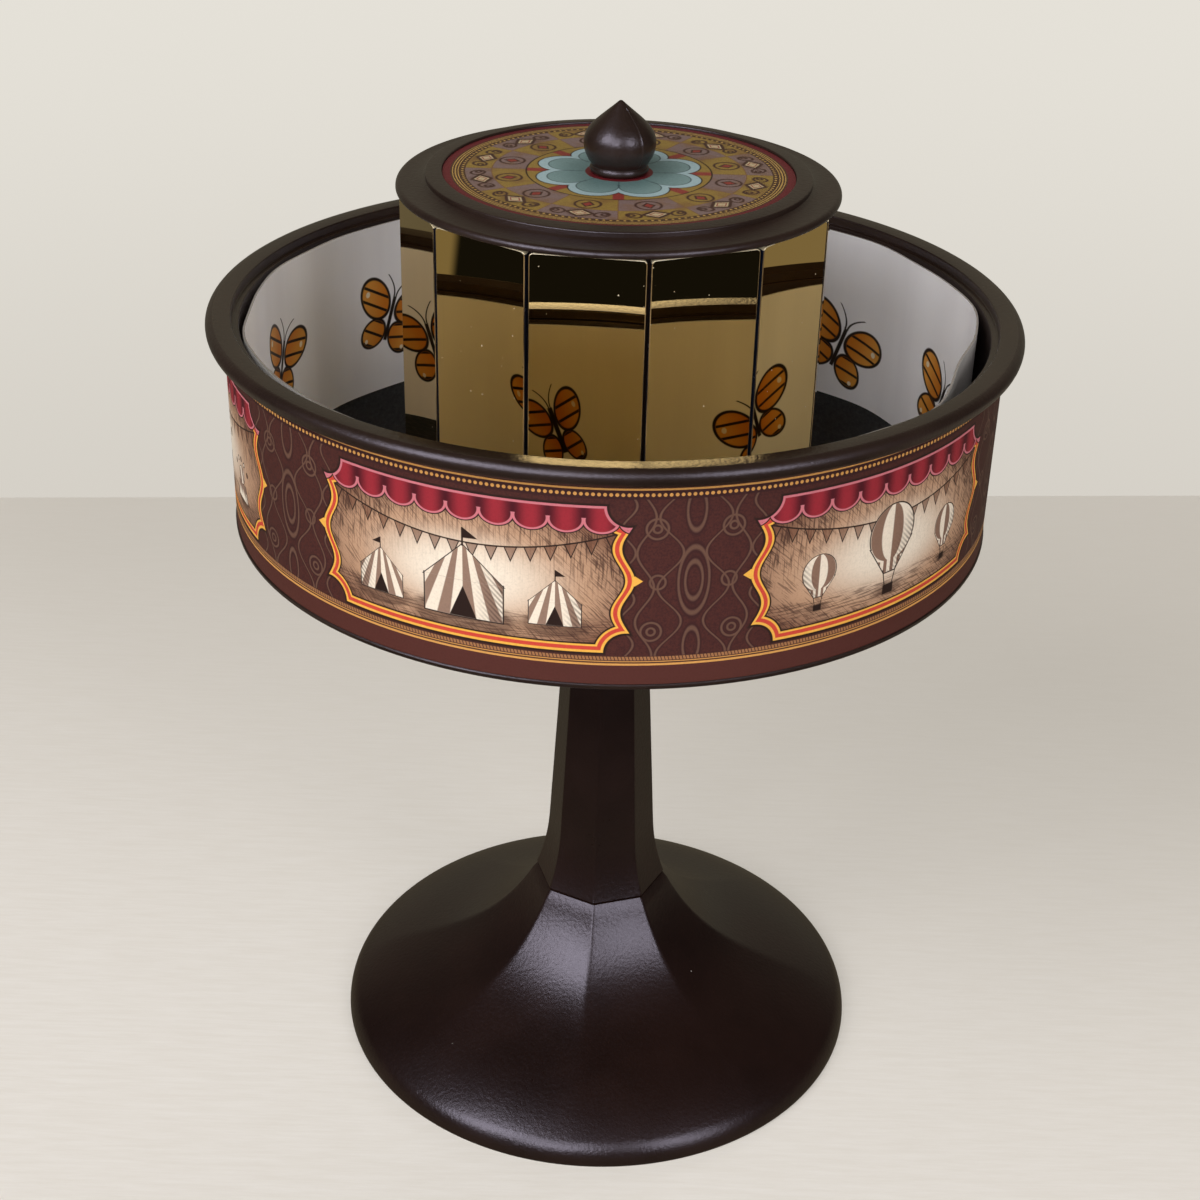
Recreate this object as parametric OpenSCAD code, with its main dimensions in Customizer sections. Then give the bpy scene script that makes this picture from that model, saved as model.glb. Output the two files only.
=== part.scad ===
// Praxinoscope: a picture drum that is spun by its knob around a ring of mirrors, on a trumpet-footed stand.
// The origin is the middle of the foot on the table, with +Z up the spindle.

/* [Foot] */
// Diameter of the foot on the table
foot_d = 132.2; // [120:0.2:160]
// Radius of the foot's rounded outer edge
foot_edge_r = 6.9; // [4:0.1:8]
// Height of the upright strip below the rounded edge
foot_edge_h = 0.4; // [0.2:0.1:2]
// Wall thickness of the moulded foot
foot_wall = 2.4; // [1.6:0.1:2.8]
// Height of the seam between foot and column
seam_z = 40.6; // [36:0.2:50]
// Width across the eight corners at the seam
seam_d = 33.6; // [32:0.2:38]
// Turn of the eight-sided neck about the upright axis, in degrees
facet_turn = -4.7; // [-22:0.1:22]
// How quickly the facets fade from the seam to the edge
facet_fade = 1.1; // [0.8:0.1:2.5]
// How far out the flare's upper curve aims
flare_out = 12.9; // [8:0.1:15]
// How high above the edge the flare's upper curve aims
flare_rise = 8.9; // [6:0.1:13]
// How far in from the edge the flare's lower curve starts
flare_reach = 19.8; // [12:0.2:26]
// Slope of the flare where it meets the rounded edge, in degrees
flare_slope = 38; // [20:1:45]

/* [Column] */
// Height of the column above the seam
column_h = 96.4; // [80:0.2:130]
// Width across the corners at the top
column_top_d = 17.9; // [17:0.1:24]
// Width across the corners that the plain taper would have at the seam
column_root_d = 28.5; // [27:0.1:31]
// Height over which the column spreads to meet the foot
column_flare_h = 16.6; // [10:0.2:24]
// Wall thickness of the hollow lower column
column_wall = 2.6; // [2:0.1:3]
// Height of the hollow inside the column
column_hollow_h = 44; // [30:1:55]
// Radius of the spigot that plugs into the foot
spigot_r = 11.8; // [11:0.1:12.2]
// Length of that spigot
spigot_h = 6; // [4:0.5:9]
// Thickness of the web in the foot that the screw clamps
foot_web_t = 3; // [2:0.2:5]
// Radius of the screw boss inside the column
column_boss_r = 4.6; // [4:0.1:6]

/* [Spindle and bearings] */
// Radius of the steel spindle
spindle_r = 2.5; // [2:0.1:3]
// Length of spindle held in the column
spindle_seat = 34; // [24:1:45]
// Length of spindle that stands above the upper bush
spindle_over = 3; // [2:0.5:5]
// Outer radius of both bushes
bush_r = 4.5; // [4:0.1:5.5]
// Outer radius of the bushes' flanges
bush_flange_r = 6.8; // [6.2:0.1:8]
// Thickness of the bushes' flanges
bush_flange_t = 1.2; // [0.8:0.1:2]
// Thickness of the thrust washer on the column
washer_t = 0.8; // [0.5:0.1:1.5]
// Outer radius of the thrust washer
washer_r = 7.4; // [6.5:0.1:8]
// Radius of the push-on clip at the spindle's top
clip_r = 5.4; // [4.5:0.1:6.5]
// Thickness of that clip
clip_t = 0.6; // [0.4:0.1:1]
// Radial clearance of the spindle in the bushes
running_gap = 0.05; // [0.02:0.01:0.1]
// Up-and-down play of the drum under the clip
end_play = 0.5; // [0.3:0.1:1]

/* [Drum] */
// Thickness of the drum's wall
drum_wall = 2.95; // [2.8:0.05:4]
// Height of the wall from the floor's underside
drum_wall_h = 44.2; // [43:0.1:60]
// Thickness of the drum's floor
drum_floor_t = 2.4; // [1.6:0.1:3]
// How far the lower lip stands out from the wall
lip_out = 0.65; // [0.5:0.05:2]
// Thickness of the lower lip
lip_t = 1.2; // [0.8:0.1:3]
// Radius of the lip's lower edge
lip_round = 0.6; // [0.3:0.1:0.8]
// Radius of the hub under the floor
hub_r = 12; // [10:0.2:16]
// Depth of the hub below the floor
hub_h = 9.5; // [7:0.5:14]
// Thickness of the printed band round the wall
band_t = 0.35; // [0.2:0.05:0.6]
// Thickness of the black floor disc
disc_t = 0.6; // [0.4:0.1:1.2]

/* [Rim] */
// How far the bead stands out from the drum's wall
rim_out = 4.25; // [3.6:0.05:6]
// Radius of the bead
rim_bead_r = 1.9; // [1.5:0.1:2.4]
// Height of the rim ring above the wall
rim_h = 4.7; // [4:0.1:6]
// How far the rim's inner edge lies below its top
rim_drop = 0.5; // [0:0.1:1]
// Radius of the rim's inner edge
rim_edge_r = 0.4; // [0.2:0.1:0.6]
// Width of the ledge inside the rim
rim_ledge = 1.6; // [0.5:0.1:1.8]
// Depth of that ledge below the rim's inner edge
rim_ledge_h = 1.6; // [1:0.1:2.5]
// Width of the tongue that locates the ring in the wall
tongue_w = 1; // [0.8:0.05:1.2]
// Depth of that tongue
tongue_h = 2.4; // [1.5:0.1:4]

/* [Mirrors] */
// Number of mirrors
mirror_n = 12; // [12:1:12]
// Width of the mirror ring across its corners
mirror_d = 94.9; // [86:0.1:95.2]
// Height of the mirrors
mirror_h = 71.8; // [60:0.1:90]
// Thickness of a mirror
mirror_t = 2; // [1.5:0.1:3]
// Gap between neighbouring mirrors
mirror_gap = 0.9; // [0.3:0.1:1.2]
// Turn of the mirror ring about the spindle, in degrees
mirror_turn = 7.9; // [0:0.1:29]
// Wall thickness of the twelve-sided core
core_wall = 2.2; // [1.6:0.1:3]
// Depth of the bearing web below the core's top
core_web_drop = 14; // [12:0.5:20]
// Thickness of that web
core_web_t = 2.5; // [2:0.1:4]
// Thickness of the flange at the core's foot
core_flange_t = 3; // [2:0.2:5]
// Length of the upper bush
upper_bush_h = 8; // [6:0.5:12]

/* [Lid and knob] */
// Diameter of the lid
lid_d = 96.1; // [95.6:0.1:104]
// Gap between the tops of the mirrors and the lid
lid_gap = 0.5; // [0.3:0.1:1]
// Height of the lid's ring above its underside
lid_h = 3.7; // [3.5:0.1:6]
// Thickness of the lid's outer edge
lid_edge_h = 1.5; // [1.4:0.1:2]
// Radius on top of the lid's outer edge
lid_edge_r = 1; // [0.6:0.1:1.1]
// Radius under the lid's outer edge
lid_under_r = 0.3; // [0.1:0.1:0.3]
// Rise of the hollow curve between the edge and the ring
cove_rise = 0.7; // [0.3:0.1:1]
// Outer diameter of the raised ring round the label
ring_d = 83.4; // [80:0.2:86]
// How much higher the ring is at its inner edge
ring_rise = 0.3; // [0:0.1:0.6]
// Radius of the ring's edges
ring_edge_r = 0.3; // [0.1:0.1:0.4]
// Diameter of the recess for the label
label_d = 76.2; // [70:0.2:78]
// Depth of that recess
recess_h = 0.9; // [0.8:0.1:1.4]
// Thickness of the label
label_t = 0.4; // [0.2:0.05:0.6]
// Thickness of the lid's web under the label
lid_web_t = 2.2; // [1.6:0.1:2.4]
// Length of the ring that plugs into the core
plug_h = 4; // [3:0.5:6]
// Wall thickness of that ring
plug_wall = 2; // [1.5:0.1:3]
// Height of the knob
knob_h = 15.4; // [14:0.1:20]
// Radius of the round collar at the knob's foot
knob_foot_r = 6.4; // [5.5:0.1:7]
// Height of that collar
collar_h = 2; // [1.4:0.1:2.4]
// Radius of the crease above the collar
knob_neck_r = 6.05; // [5:0.05:6.5]
// Height of the crease above the label
neck_h = 1.9; // [1.8:0.1:2.6]
// Largest radius of the knob
knob_r = 7.78; // [7:0.02:10]
// Height of the knob's largest radius
knob_wide_h = 6.6; // [5.5:0.1:8]
// Radius of the knob's tip
tip_r = 0.5; // [0.3:0.1:1.5]

/* [Picture strip] */
// Outside radius of the loop, which the drum is sized to hold
strip_r = 82.4; // [60:0.1:100]
// Height of the strip
strip_h = 43.4; // [30:0.1:44]
// Thickness of the strip
strip_t = 0.45; // [0.3:0.05:0.8]
// Gap between the loop and the drum's wall
strip_wall_gap = 0.4; // [0.3:0.1:3]
// How far the loop's slack stretch bends in from the wall
slack_depth = 3.6; // [0:0.2:8]
// Direction of the slack stretch about the spindle, in degrees
slack_at = -17; // [-180:1:180]
// Half the angle that the slack stretch takes up
slack_half = 24; // [10:1:60]

/* [Screws] */
// Shank radius of the column screw
column_screw_r = 2; // [1.6:0.1:2.4]
// Length of the column screw under its head
column_screw_l = 28; // [20:1:34]
// Shank radius of the small screws
small_screw_r = 1.4; // [1.2:0.1:1.6]
// Length of the core screws under their heads
core_screw_l = 12; // [8:1:16]
// Length of the knob screw under its head
knob_screw_l = 9; // [7:1:11]
// Distance of the core screws from the spindle
core_screw_at = 34; // [28:0.5:34]
// Number of core screws
core_screw_n = 3; // [3:1:6]

/* [Hidden] */
// Clearance between fixed pieces that slip together
slip_gap = 0.1;
// Clearance of a screw in a plain hole
screw_gap = 0.3;
// Cuts run this far past the faces they open
past = 1;
facets = 8;
facet_a = 360 / facets;
ring_n = 64;
flare_steps = 18;
arc_steps = 6;
column_steps = 6;
$fn = 96;

foot_r = foot_d / 2;
seam_r = seam_d / 2;
edge_mid = [foot_r - foot_edge_r, foot_edge_h];
flare_end = edge_mid + foot_edge_r * [sin(flare_slope), cos(flare_slope)];
flare = [
    [seam_r, seam_z],
    [seam_r + flare_out, flare_end[1] + flare_rise],
    flare_end + flare_reach * [-cos(flare_slope), sin(flare_slope)],
    flare_end
];
// How sharply the column's spread curves in to its plain taper
column_flare_curve = 2.2;
socket_z = seam_z - spigot_h;
web_z = socket_z - foot_web_t;
spigot_wall = 2;

column_top = seam_z + column_h;
spindle_z = column_top - spindle_seat;
hub_z = column_top + washer_t;
floor_z = hub_z + hub_h;
floor_top = floor_z + drum_floor_t;
disc_top = floor_top + disc_t;
wall_top = floor_z + drum_wall_h;
wall_in = strip_r + strip_wall_gap;
wall_r = wall_in + drum_wall;
lip_top = floor_z + lip_t;

mirror_r = mirror_d / 2;
side_a = 360 / mirror_n;
mirror_flat = mirror_r * cos(side_a / 2);
mirror_z = floor_top + slip_gap;
core_flat = mirror_flat - mirror_t - slip_gap;
core_r = core_flat / cos(side_a / 2);
core_in = core_flat - core_wall;
core_top = mirror_z + mirror_h + lid_gap;
core_web_z = core_top - core_web_drop;
upper_bush_top = core_web_z + core_web_t;
upper_bush_z = upper_bush_top - upper_bush_h;
boss_wall = 2.1;
bush_boss_r = bush_r + boss_wall;
clip_z = upper_bush_top + bush_flange_t + end_play;
spindle_top = clip_z + clip_t + spindle_over;
boss_r = small_screw_r + boss_wall;
boss_end = 3;
boss_h = core_screw_l + boss_end;

lid_r = lid_d / 2;
ring_r = ring_d / 2;
label_r = label_d / 2;
label_z = core_top + lid_h - recess_h;
lid_web_z = label_z - lid_web_t;
knob_z = label_z + label_t;
head_h = 2;
head_over = 1.5;
column_head_h = 2.6;
column_head_over = 2;
column_washer_t = 0.8;
column_washer_over = 1;
// Share of a screw head's height that is rounded
head_round = 1 / 3;
// Share of the spindle's radius that its ends are bevelled by
spindle_bevel = 0.4;
// Lengths of the handles that shape the knob's belly, its shoulder and its ogee top
belly_out = 0.9;
belly_up = 1.3;
belly_rise = 2.1;
shoulder_rise = 3.2;
ogee_out = 4.1;
ogee_drop = 3.8;
knob_steps = 10;
strip_steps = 120;

stand_brown = [0.16, 0.12, 0.11];
drum_brown = [0.19, 0.15, 0.14];
steel = [0.72, 0.72, 0.74];
bronze = [0.66, 0.47, 0.26];
mirror_gold = [0.72, 0.60, 0.38];

panel_names = [for (i = [1:mirror_n]) str("mirror_panel_", i < 10 ? "0" : "", i)];

// A point on a curve with four handles, and the curve's direction there
function curve(p, t) = pow(1 - t, 3) * p[0] + 3 * pow(1 - t, 2) * t * p[1] + 3 * (1 - t) * t * t * p[2]
    + pow(t, 3) * p[3];
function curve_way(p, t) = pow(1 - t, 2) * (p[1] - p[0]) + 2 * (1 - t) * t * (p[2] - p[1])
    + t * t * (p[3] - p[2]);
function left_of(v) = [-v[1], v[0]] / norm(v);
// Points of an arc, both ends included
function arc(mid, r, from, to) =
    [for (i = [0:arc_steps]) let (a = from + (to - from) * i / arc_steps) mid + r * [cos(a), sin(a)]];

// Radius of a ring at an angle from one of its corners: share 1 is eight-sided, share 0 is round
function faceted_r(r, a, share) =
    r * (1 - share + share * cos(facet_a / 2) / cos(a % facet_a - facet_a / 2));
function facet_share(t) = pow(1 - t, facet_fade);
function ring(r, z, share, n) = [for (i = [0:n - 1])
    let (a = i * 360 / n, rr = faceted_r(r, a, share), at = a + facet_turn - 90)
    [rr * cos(at), rr * sin(at), z]];
// Corner radius of the column at a height above the seam
function column_r(h) = (column_root_d + (column_top_d - column_root_d) * h / column_h) / 2
    + (seam_d - column_root_d) / 2 * pow(max(0, 1 - h / column_flare_h), column_flare_curve);

// A closed skin over rings that are listed from the bottom up
module skin(rings) {
    n = len(rings[0]);
    last = len(rings) - 1;
    sides = [for (j = [0:last - 1], i = [0:n - 1])
        let (k = (i + 1) % n, low = j * n, high = low + n)
        each [[low + i, high + i, high + k], [low + i, high + k, low + k]]];
    polyhedron(
        [for (r = rings) each r],
        concat([[for (i = [0:n - 1]) i]], sides, [[for (i = [n - 1:-1:0]) last * n + i]])
    );
}

module tube(r, inner, h, z) {
    translate([0, 0, z]) difference() {
        cylinder(r = r, h = h);
        translate([0, 0, -past]) cylinder(r = inner, h = h + 2 * past);
    }
}

// A pan-headed screw that points up from the face its head bears on
module screw(r, l, over, h, z) {
    edge = h * head_round;
    translate([0, 0, z]) {
        cylinder(r = r, h = l);
        translate([0, 0, -h]) rotate_extrude() polygon(concat(
            [[0, 0]], arc([r + over - edge, edge], edge, -90, 0), [[r + over, h], [0, h]]
        ));
    }
}

// The foot's hollow keeps one wall thickness inside the flare and stops at the web
module foot_hollow() {
    inner_edge = foot_edge_r - foot_wall;
    inner_end = edge_mid + inner_edge * [sin(flare_slope), cos(flare_slope)];
    slope = [for (i = [flare_steps - 1:-1:0])
        let (t = i / flare_steps, p = curve(flare, t), flat_r = faceted_r(p[0], facet_a / 2, facet_share(t)))
        [flat_r, p[1]] - foot_wall * left_of(curve_way(flare, t))];
    difference() {
        rotate_extrude() polygon(concat(
            [[0, -past], [edge_mid[0] + inner_edge, -past]],
            arc(edge_mid, inner_edge, 0, 90 - flare_slope),
            [for (p = slope) if (p[1] > inner_end[1] && p[0] < inner_end[0]) p],
            [[0, seam_z]]
        ));
        translate([0, 0, web_z]) cylinder(r = foot_r, h = seam_z);
    }
}

// Eight flat sides at the seam turn into a round edge on one swept curve
module foot() {
    edge = arc(edge_mid, foot_edge_r, 0, 90 - flare_slope);
    slope = [for (i = [flare_steps - 1:-1:0]) i / flare_steps];
    rings = concat(
        [ring(foot_r, 0, 0, ring_n)],
        [for (p = edge) ring(p[0], p[1], 0, ring_n)],
        [for (t = slope) let (p = curve(flare, t)) ring(p[0], p[1], facet_share(t), ring_n)]
    );
    color(stand_brown) difference() {
        skin(rings);
        foot_hollow();
        translate([0, 0, socket_z]) cylinder(r = spigot_r + slip_gap, h = spigot_h + past);
        translate([0, 0, web_z - past]) cylinder(r = column_screw_r + screw_gap, h = foot_web_t + 2 * past);
    }
}

module column() {
    flared = [for (i = [0:column_steps]) column_flare_h * i / column_steps];
    hollow_r = column_r(column_flare_h) * cos(facet_a / 2) - column_wall;
    hollow_top_r = column_r(column_hollow_h) * cos(facet_a / 2) - column_wall;
    boss_top = web_z + foot_web_t + column_screw_l;
    color(stand_brown) difference() {
        union() {
            skin([for (h = concat(flared, [column_h])) ring(column_r(h), seam_z + h, 1, facets)]);
            translate([0, 0, socket_z]) cylinder(r = spigot_r, h = spigot_h + past);
        }
        difference() {
            translate([0, 0, socket_z - past]) union() {
                cylinder(r = spigot_r - spigot_wall, h = spigot_h + 2 * past);
                translate([0, 0, spigot_h + past])
                    cylinder(r1 = hollow_r, r2 = hollow_top_r, h = column_hollow_h);
            }
            translate([0, 0, socket_z]) cylinder(r = column_boss_r, h = column_hollow_h + spigot_h);
        }
        translate([0, 0, socket_z - past]) cylinder(r = column_screw_r, h = boss_top - socket_z + past);
        translate([0, 0, spindle_z]) cylinder(r = spindle_r, h = spindle_seat + past);
    }
}

module column_screw() {
    color(steel)
        screw(column_screw_r, column_screw_l, column_head_over, column_head_h, web_z - column_washer_t);
}

module column_screw_washer() {
    outer = column_screw_r + column_head_over + column_washer_over;
    color(steel) tube(outer, column_screw_r + slip_gap, column_washer_t, web_z - column_washer_t);
}

module spindle() {
    tip = spindle_r * spindle_bevel;
    color(steel) translate([0, 0, spindle_z]) rotate_extrude() polygon([
        [0, 0], [spindle_r - tip, 0], [spindle_r, tip],
        [spindle_r, spindle_top - spindle_z - tip], [spindle_r - tip, spindle_top - spindle_z],
        [0, spindle_top - spindle_z]
    ]);
}

module thrust_washer() {
    color("white") tube(washer_r, spindle_r + slip_gap, washer_t, column_top);
}

module spindle_clip() {
    color(steel) tube(clip_r, spindle_r, clip_t, clip_z);
}

module drum_shell() {
    groove = tongue_w / 2 + slip_gap;
    wall_mid = wall_r - drum_wall / 2;
    groove_z = wall_top - tongue_h - slip_gap;
    color(drum_brown) difference() {
        union() {
            rotate_extrude() polygon(concat(
                [[0, floor_z]],
                arc([wall_r + lip_out - lip_round, floor_z + lip_round], lip_round, -90, 0),
                [
                    [wall_r + lip_out, lip_top], [wall_r, lip_top], [wall_r, wall_top],
                    [wall_mid + groove, wall_top], [wall_mid + groove, groove_z],
                    [wall_mid - groove, groove_z], [wall_mid - groove, wall_top],
                    [wall_in, wall_top], [wall_in, floor_top], [0, floor_top]
                ]
            ));
            translate([0, 0, hub_z]) cylinder(r = hub_r, h = hub_h + drum_floor_t / 2);
        }
        translate([0, 0, hub_z - past]) cylinder(r = bush_r, h = hub_h + drum_floor_t + 2 * past);
        translate([0, 0, hub_z - past]) cylinder(r = bush_flange_r + slip_gap, h = bush_flange_t + past);
        for_core_screws() translate([0, 0, floor_z - past])
            cylinder(r = small_screw_r + screw_gap, h = drum_floor_t + 2 * past);
    }
}

module for_core_screws() {
    for (i = [0:core_screw_n - 1]) rotate(360 * i / core_screw_n) translate([core_screw_at, 0, 0]) children();
}

module rim_ring() {
    wall_mid = wall_r - drum_wall / 2;
    rim_top = wall_top + rim_h;
    bead_mid = [wall_r + rim_out - rim_bead_r, rim_top - rim_bead_r];
    ledge_r = wall_in + rim_ledge;
    inner_top = rim_top - rim_drop;
    foot_out = wall_r + band_t + slip_gap;
    color(drum_brown) rotate_extrude() polygon(concat(
        [
            [wall_in, wall_top], [wall_mid - tongue_w / 2, wall_top],
            [wall_mid - tongue_w / 2, wall_top - tongue_h], [wall_mid + tongue_w / 2, wall_top - tongue_h],
            [wall_mid + tongue_w / 2, wall_top], [foot_out, wall_top], [foot_out, bead_mid[1] - rim_bead_r]
        ],
        arc(bead_mid, rim_bead_r, -90, 90),
        arc([ledge_r + rim_edge_r, inner_top - rim_edge_r], rim_edge_r, 90, 180),
        [[ledge_r, inner_top - rim_ledge_h], [wall_in, inner_top - rim_ledge_h]]
    ));
}

module outer_band() {
    color([0.32, 0.17, 0.17]) tube(wall_r + band_t + slip_gap / 2, wall_r + slip_gap / 2,
        wall_top - lip_top - 2 * slip_gap, lip_top + slip_gap);
}

module floor_disc() {
    color([0.05, 0.05, 0.05]) tube(wall_in - screw_gap, mirror_r + screw_gap, disc_t, floor_top);
}

// A flanged bearing bush: the flange is at its lower end, or at its upper end when turned over
module bush(h) {
    difference() {
        union() {
            cylinder(r = bush_r, h = h);
            cylinder(r = bush_flange_r, h = bush_flange_t);
        }
        translate([0, 0, -past]) cylinder(r = spindle_r + running_gap, h = h + 2 * past);
    }
}

module lower_bush() {
    color(bronze) translate([0, 0, hub_z]) bush(hub_h + drum_floor_t);
}

module upper_bush() {
    color(bronze) translate([0, 0, upper_bush_top + bush_flange_t]) mirror([0, 0, 1])
        bush(upper_bush_h + bush_flange_t);
}

// The core is hollow below and above its bearing web, with a flange at its foot for the screws
module mirror_core() {
    flange_top = floor_top + core_flange_t;
    color(drum_brown) difference() {
        union() {
            difference() {
                rotate(mirror_turn) translate([0, 0, floor_top])
                    cylinder(r = core_r, h = core_top - floor_top, $fn = mirror_n);
                translate([0, 0, floor_top - past])
                    cylinder(r = core_screw_at - boss_r - core_wall, h = core_flange_t + 2 * past);
                translate([0, 0, flange_top]) cylinder(r = core_in, h = core_web_z - flange_top);
                translate([0, 0, upper_bush_top]) cylinder(r = core_in, h = core_web_drop);
            }
            translate([0, 0, upper_bush_z]) cylinder(r = bush_boss_r, h = upper_bush_h - core_web_t / 2);
            for_core_screws() translate([0, 0, floor_top + core_flange_t / 2])
                cylinder(r = boss_r, h = boss_h - core_flange_t / 2);
        }
        translate([0, 0, upper_bush_z - past]) cylinder(r = bush_r, h = upper_bush_h + 2 * past);
        for_core_screws() translate([0, 0, floor_top - past])
            cylinder(r = small_screw_r, h = core_screw_l - drum_floor_t + past);
    }
}

module core_screws() {
    color(steel) for_core_screws() screw(small_screw_r, core_screw_l, head_over, head_h, floor_z);
}

// A mirror is mitred at its sides so that its face is wider than its back
module mirror_panel(i) {
    half = tan(side_a / 2);
    back = mirror_flat - mirror_t;
    color(mirror_gold) rotate(mirror_turn + side_a * (i - 1) - 90 + side_a / 2) translate([0, 0, mirror_z])
        linear_extrude(mirror_h) polygon([
            [back, -back * half + mirror_gap / 2], [mirror_flat, -mirror_flat * half + mirror_gap / 2],
            [mirror_flat, mirror_flat * half - mirror_gap / 2], [back, back * half - mirror_gap / 2]
        ]);
}

module lid() {
    plug_r = core_in - slip_gap;
    bore = small_screw_r + screw_gap;
    edge_top = core_top + lid_edge_h;
    cove_r = lid_r - lid_edge_r;
    top = core_top + lid_h;
    color(drum_brown) rotate_extrude() polygon(concat(
        [
            [bore, lid_web_z], [plug_r - plug_wall, lid_web_z],
            [plug_r - plug_wall, core_top - plug_h], [plug_r, core_top - plug_h], [plug_r, core_top]
        ],
        arc([lid_r - lid_under_r, core_top + lid_under_r], lid_under_r, -90, 0),
        arc([cove_r, edge_top - lid_edge_r], lid_edge_r, 0, 90),
        [for (i = [1:arc_steps]) let (u = i / arc_steps)
            [cove_r + (ring_r - cove_r) * u, edge_top + cove_rise * pow(u, 3)]],
        arc([ring_r - ring_edge_r, top - ring_rise - ring_edge_r], ring_edge_r, 0, 90),
        arc([label_r + ring_edge_r, top - ring_edge_r], ring_edge_r, 90, 180),
        [[label_r, label_z], [bore, label_z]]
    ));
}

module lid_label() {
    color([0.58, 0.50, 0.32])
        tube(label_r - slip_gap, small_screw_r + screw_gap, label_t, label_z);
}

// The knob swells from the crease above its collar and closes in an ogee to a small tip
module knob() {
    collar_r = collar_h / 2;
    crease_a = acos(1 - (knob_foot_r - knob_neck_r) / collar_r);
    belly = [
        [knob_neck_r, neck_h], [knob_neck_r + belly_out, neck_h + belly_up],
        [knob_r, knob_wide_h - belly_rise], [knob_r, knob_wide_h]
    ];
    ogee = [
        [knob_r, knob_wide_h], [knob_r, knob_wide_h + shoulder_rise],
        [tip_r + ogee_out, knob_h - ogee_drop], [tip_r, knob_h]
    ];
    color(drum_brown) translate([0, 0, knob_z]) difference() {
        rotate_extrude() polygon(concat(
            [[0, 0]],
            arc([knob_foot_r - collar_r, collar_r], collar_r, -90, crease_a),
            [for (i = [0:knob_steps]) curve(belly, i / knob_steps)],
            [for (i = [1:knob_steps]) curve(ogee, i / knob_steps)],
            [[0, knob_h]]
        ));
        translate([0, 0, -past]) cylinder(r = small_screw_r, h = knob_screw_l - lid_web_t - label_t + past);
    }
}

module knob_screw() {
    color(steel) screw(small_screw_r, knob_screw_l, head_over, head_h, lid_web_z);
}

// Radius of the loop at an angle: round against the wall, with one slack stretch that bends in
function slack(a) = abs(a - slack_at) < slack_half ? pow(cos(90 * (a - slack_at) / slack_half), 2) : 0;
function loop_r(r, a) = r - slack_depth * slack(a);

// A loose closed loop that stands on the floor disc, close along the wall
module picture_strip() {
    angles = [for (i = [0:strip_steps - 1]) slack_at - 180 + 360 * i / strip_steps];
    color("white") translate([0, 0, disc_top]) linear_extrude(strip_h) difference() {
        polygon([for (a = angles) loop_r(strip_r, a) * [cos(a), sin(a)]]);
        polygon([for (a = angles) loop_r(strip_r - strip_t, a) * [cos(a), sin(a)]]);
    }
}

foot();
column();
column_screw();
column_screw_washer();
spindle();
thrust_washer();
spindle_clip();
drum_shell();
rim_ring();
outer_band();
floor_disc();
lower_bush();
upper_bush();
mirror_core();
core_screws();
lid();
lid_label();
knob();
knob_screw();
picture_strip();
for (i = [1:mirror_n]) mirror_panel(i);
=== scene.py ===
from math import acos, atan2, cos, degrees, hypot, pi, radians, sin, tan

import bmesh
import bpy
from mathutils import Matrix, Vector


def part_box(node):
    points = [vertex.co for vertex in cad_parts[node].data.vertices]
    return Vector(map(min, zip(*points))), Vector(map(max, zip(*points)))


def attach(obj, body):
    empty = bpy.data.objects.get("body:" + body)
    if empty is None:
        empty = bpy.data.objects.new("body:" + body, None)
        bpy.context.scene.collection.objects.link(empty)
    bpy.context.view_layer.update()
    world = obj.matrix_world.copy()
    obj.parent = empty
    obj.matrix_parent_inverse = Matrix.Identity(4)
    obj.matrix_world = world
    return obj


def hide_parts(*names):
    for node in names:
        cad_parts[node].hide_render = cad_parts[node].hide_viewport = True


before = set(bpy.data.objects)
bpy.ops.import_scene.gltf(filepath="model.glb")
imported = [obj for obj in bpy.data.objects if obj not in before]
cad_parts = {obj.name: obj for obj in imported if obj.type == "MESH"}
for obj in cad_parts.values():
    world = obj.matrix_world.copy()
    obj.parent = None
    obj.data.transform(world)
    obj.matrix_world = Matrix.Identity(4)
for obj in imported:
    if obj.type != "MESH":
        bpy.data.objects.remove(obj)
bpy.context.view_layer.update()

MM = 0.001

# Steps of a full turn, and of a rounded corner in a profile
TURN_STEPS = 192
CORNER_STEPS = 6

# Edges that bend by more degrees than this stay sharp
CREASE = 32
MIRROR_CREASE = 20
KNOB_CREASE = 40

# The stand, as in the CAD model, in millimetres
FOOT_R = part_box("foot")[1].x / MM
SEAM_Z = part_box("foot")[1].z / MM
COLUMN_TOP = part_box("column")[1].z / MM
SOCKET_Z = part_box("column")[0].z / MM
FOOT_EDGE_R = 6.9
FOOT_EDGE_H = 0.4
FOOT_WALL = 2.4
FOOT_WEB_T = 3
SEAM_R = 16.8
SEAM_ROUND = 0.3
SEAM_OPEN = SEAM_ROUND / 3
SPIGOT_R = 11.8
SPIGOT_GAP = 0.1
SPINDLE_R = 2.5
SCREW_HOLE_R = 2.3
FACETS = 8
FACET_STEPS = 32
FACET_TURN = radians(-4.7)
FACET_FADE = 1.1
FACET_CRISP = 250
FLARE_OUT = 12.9
FLARE_RISE = 8.9
FLARE_REACH = 19.8
FLARE_SLOPE = radians(38)
FLARE_STEPS = 48
COLUMN_ROOT_R = 14.25
COLUMN_TOP_R = 8.95
COLUMN_FLARE_H = 16.6
COLUMN_FLARE_CURVE = 2.2
COLUMN_FLARE_STEPS = 14

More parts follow.
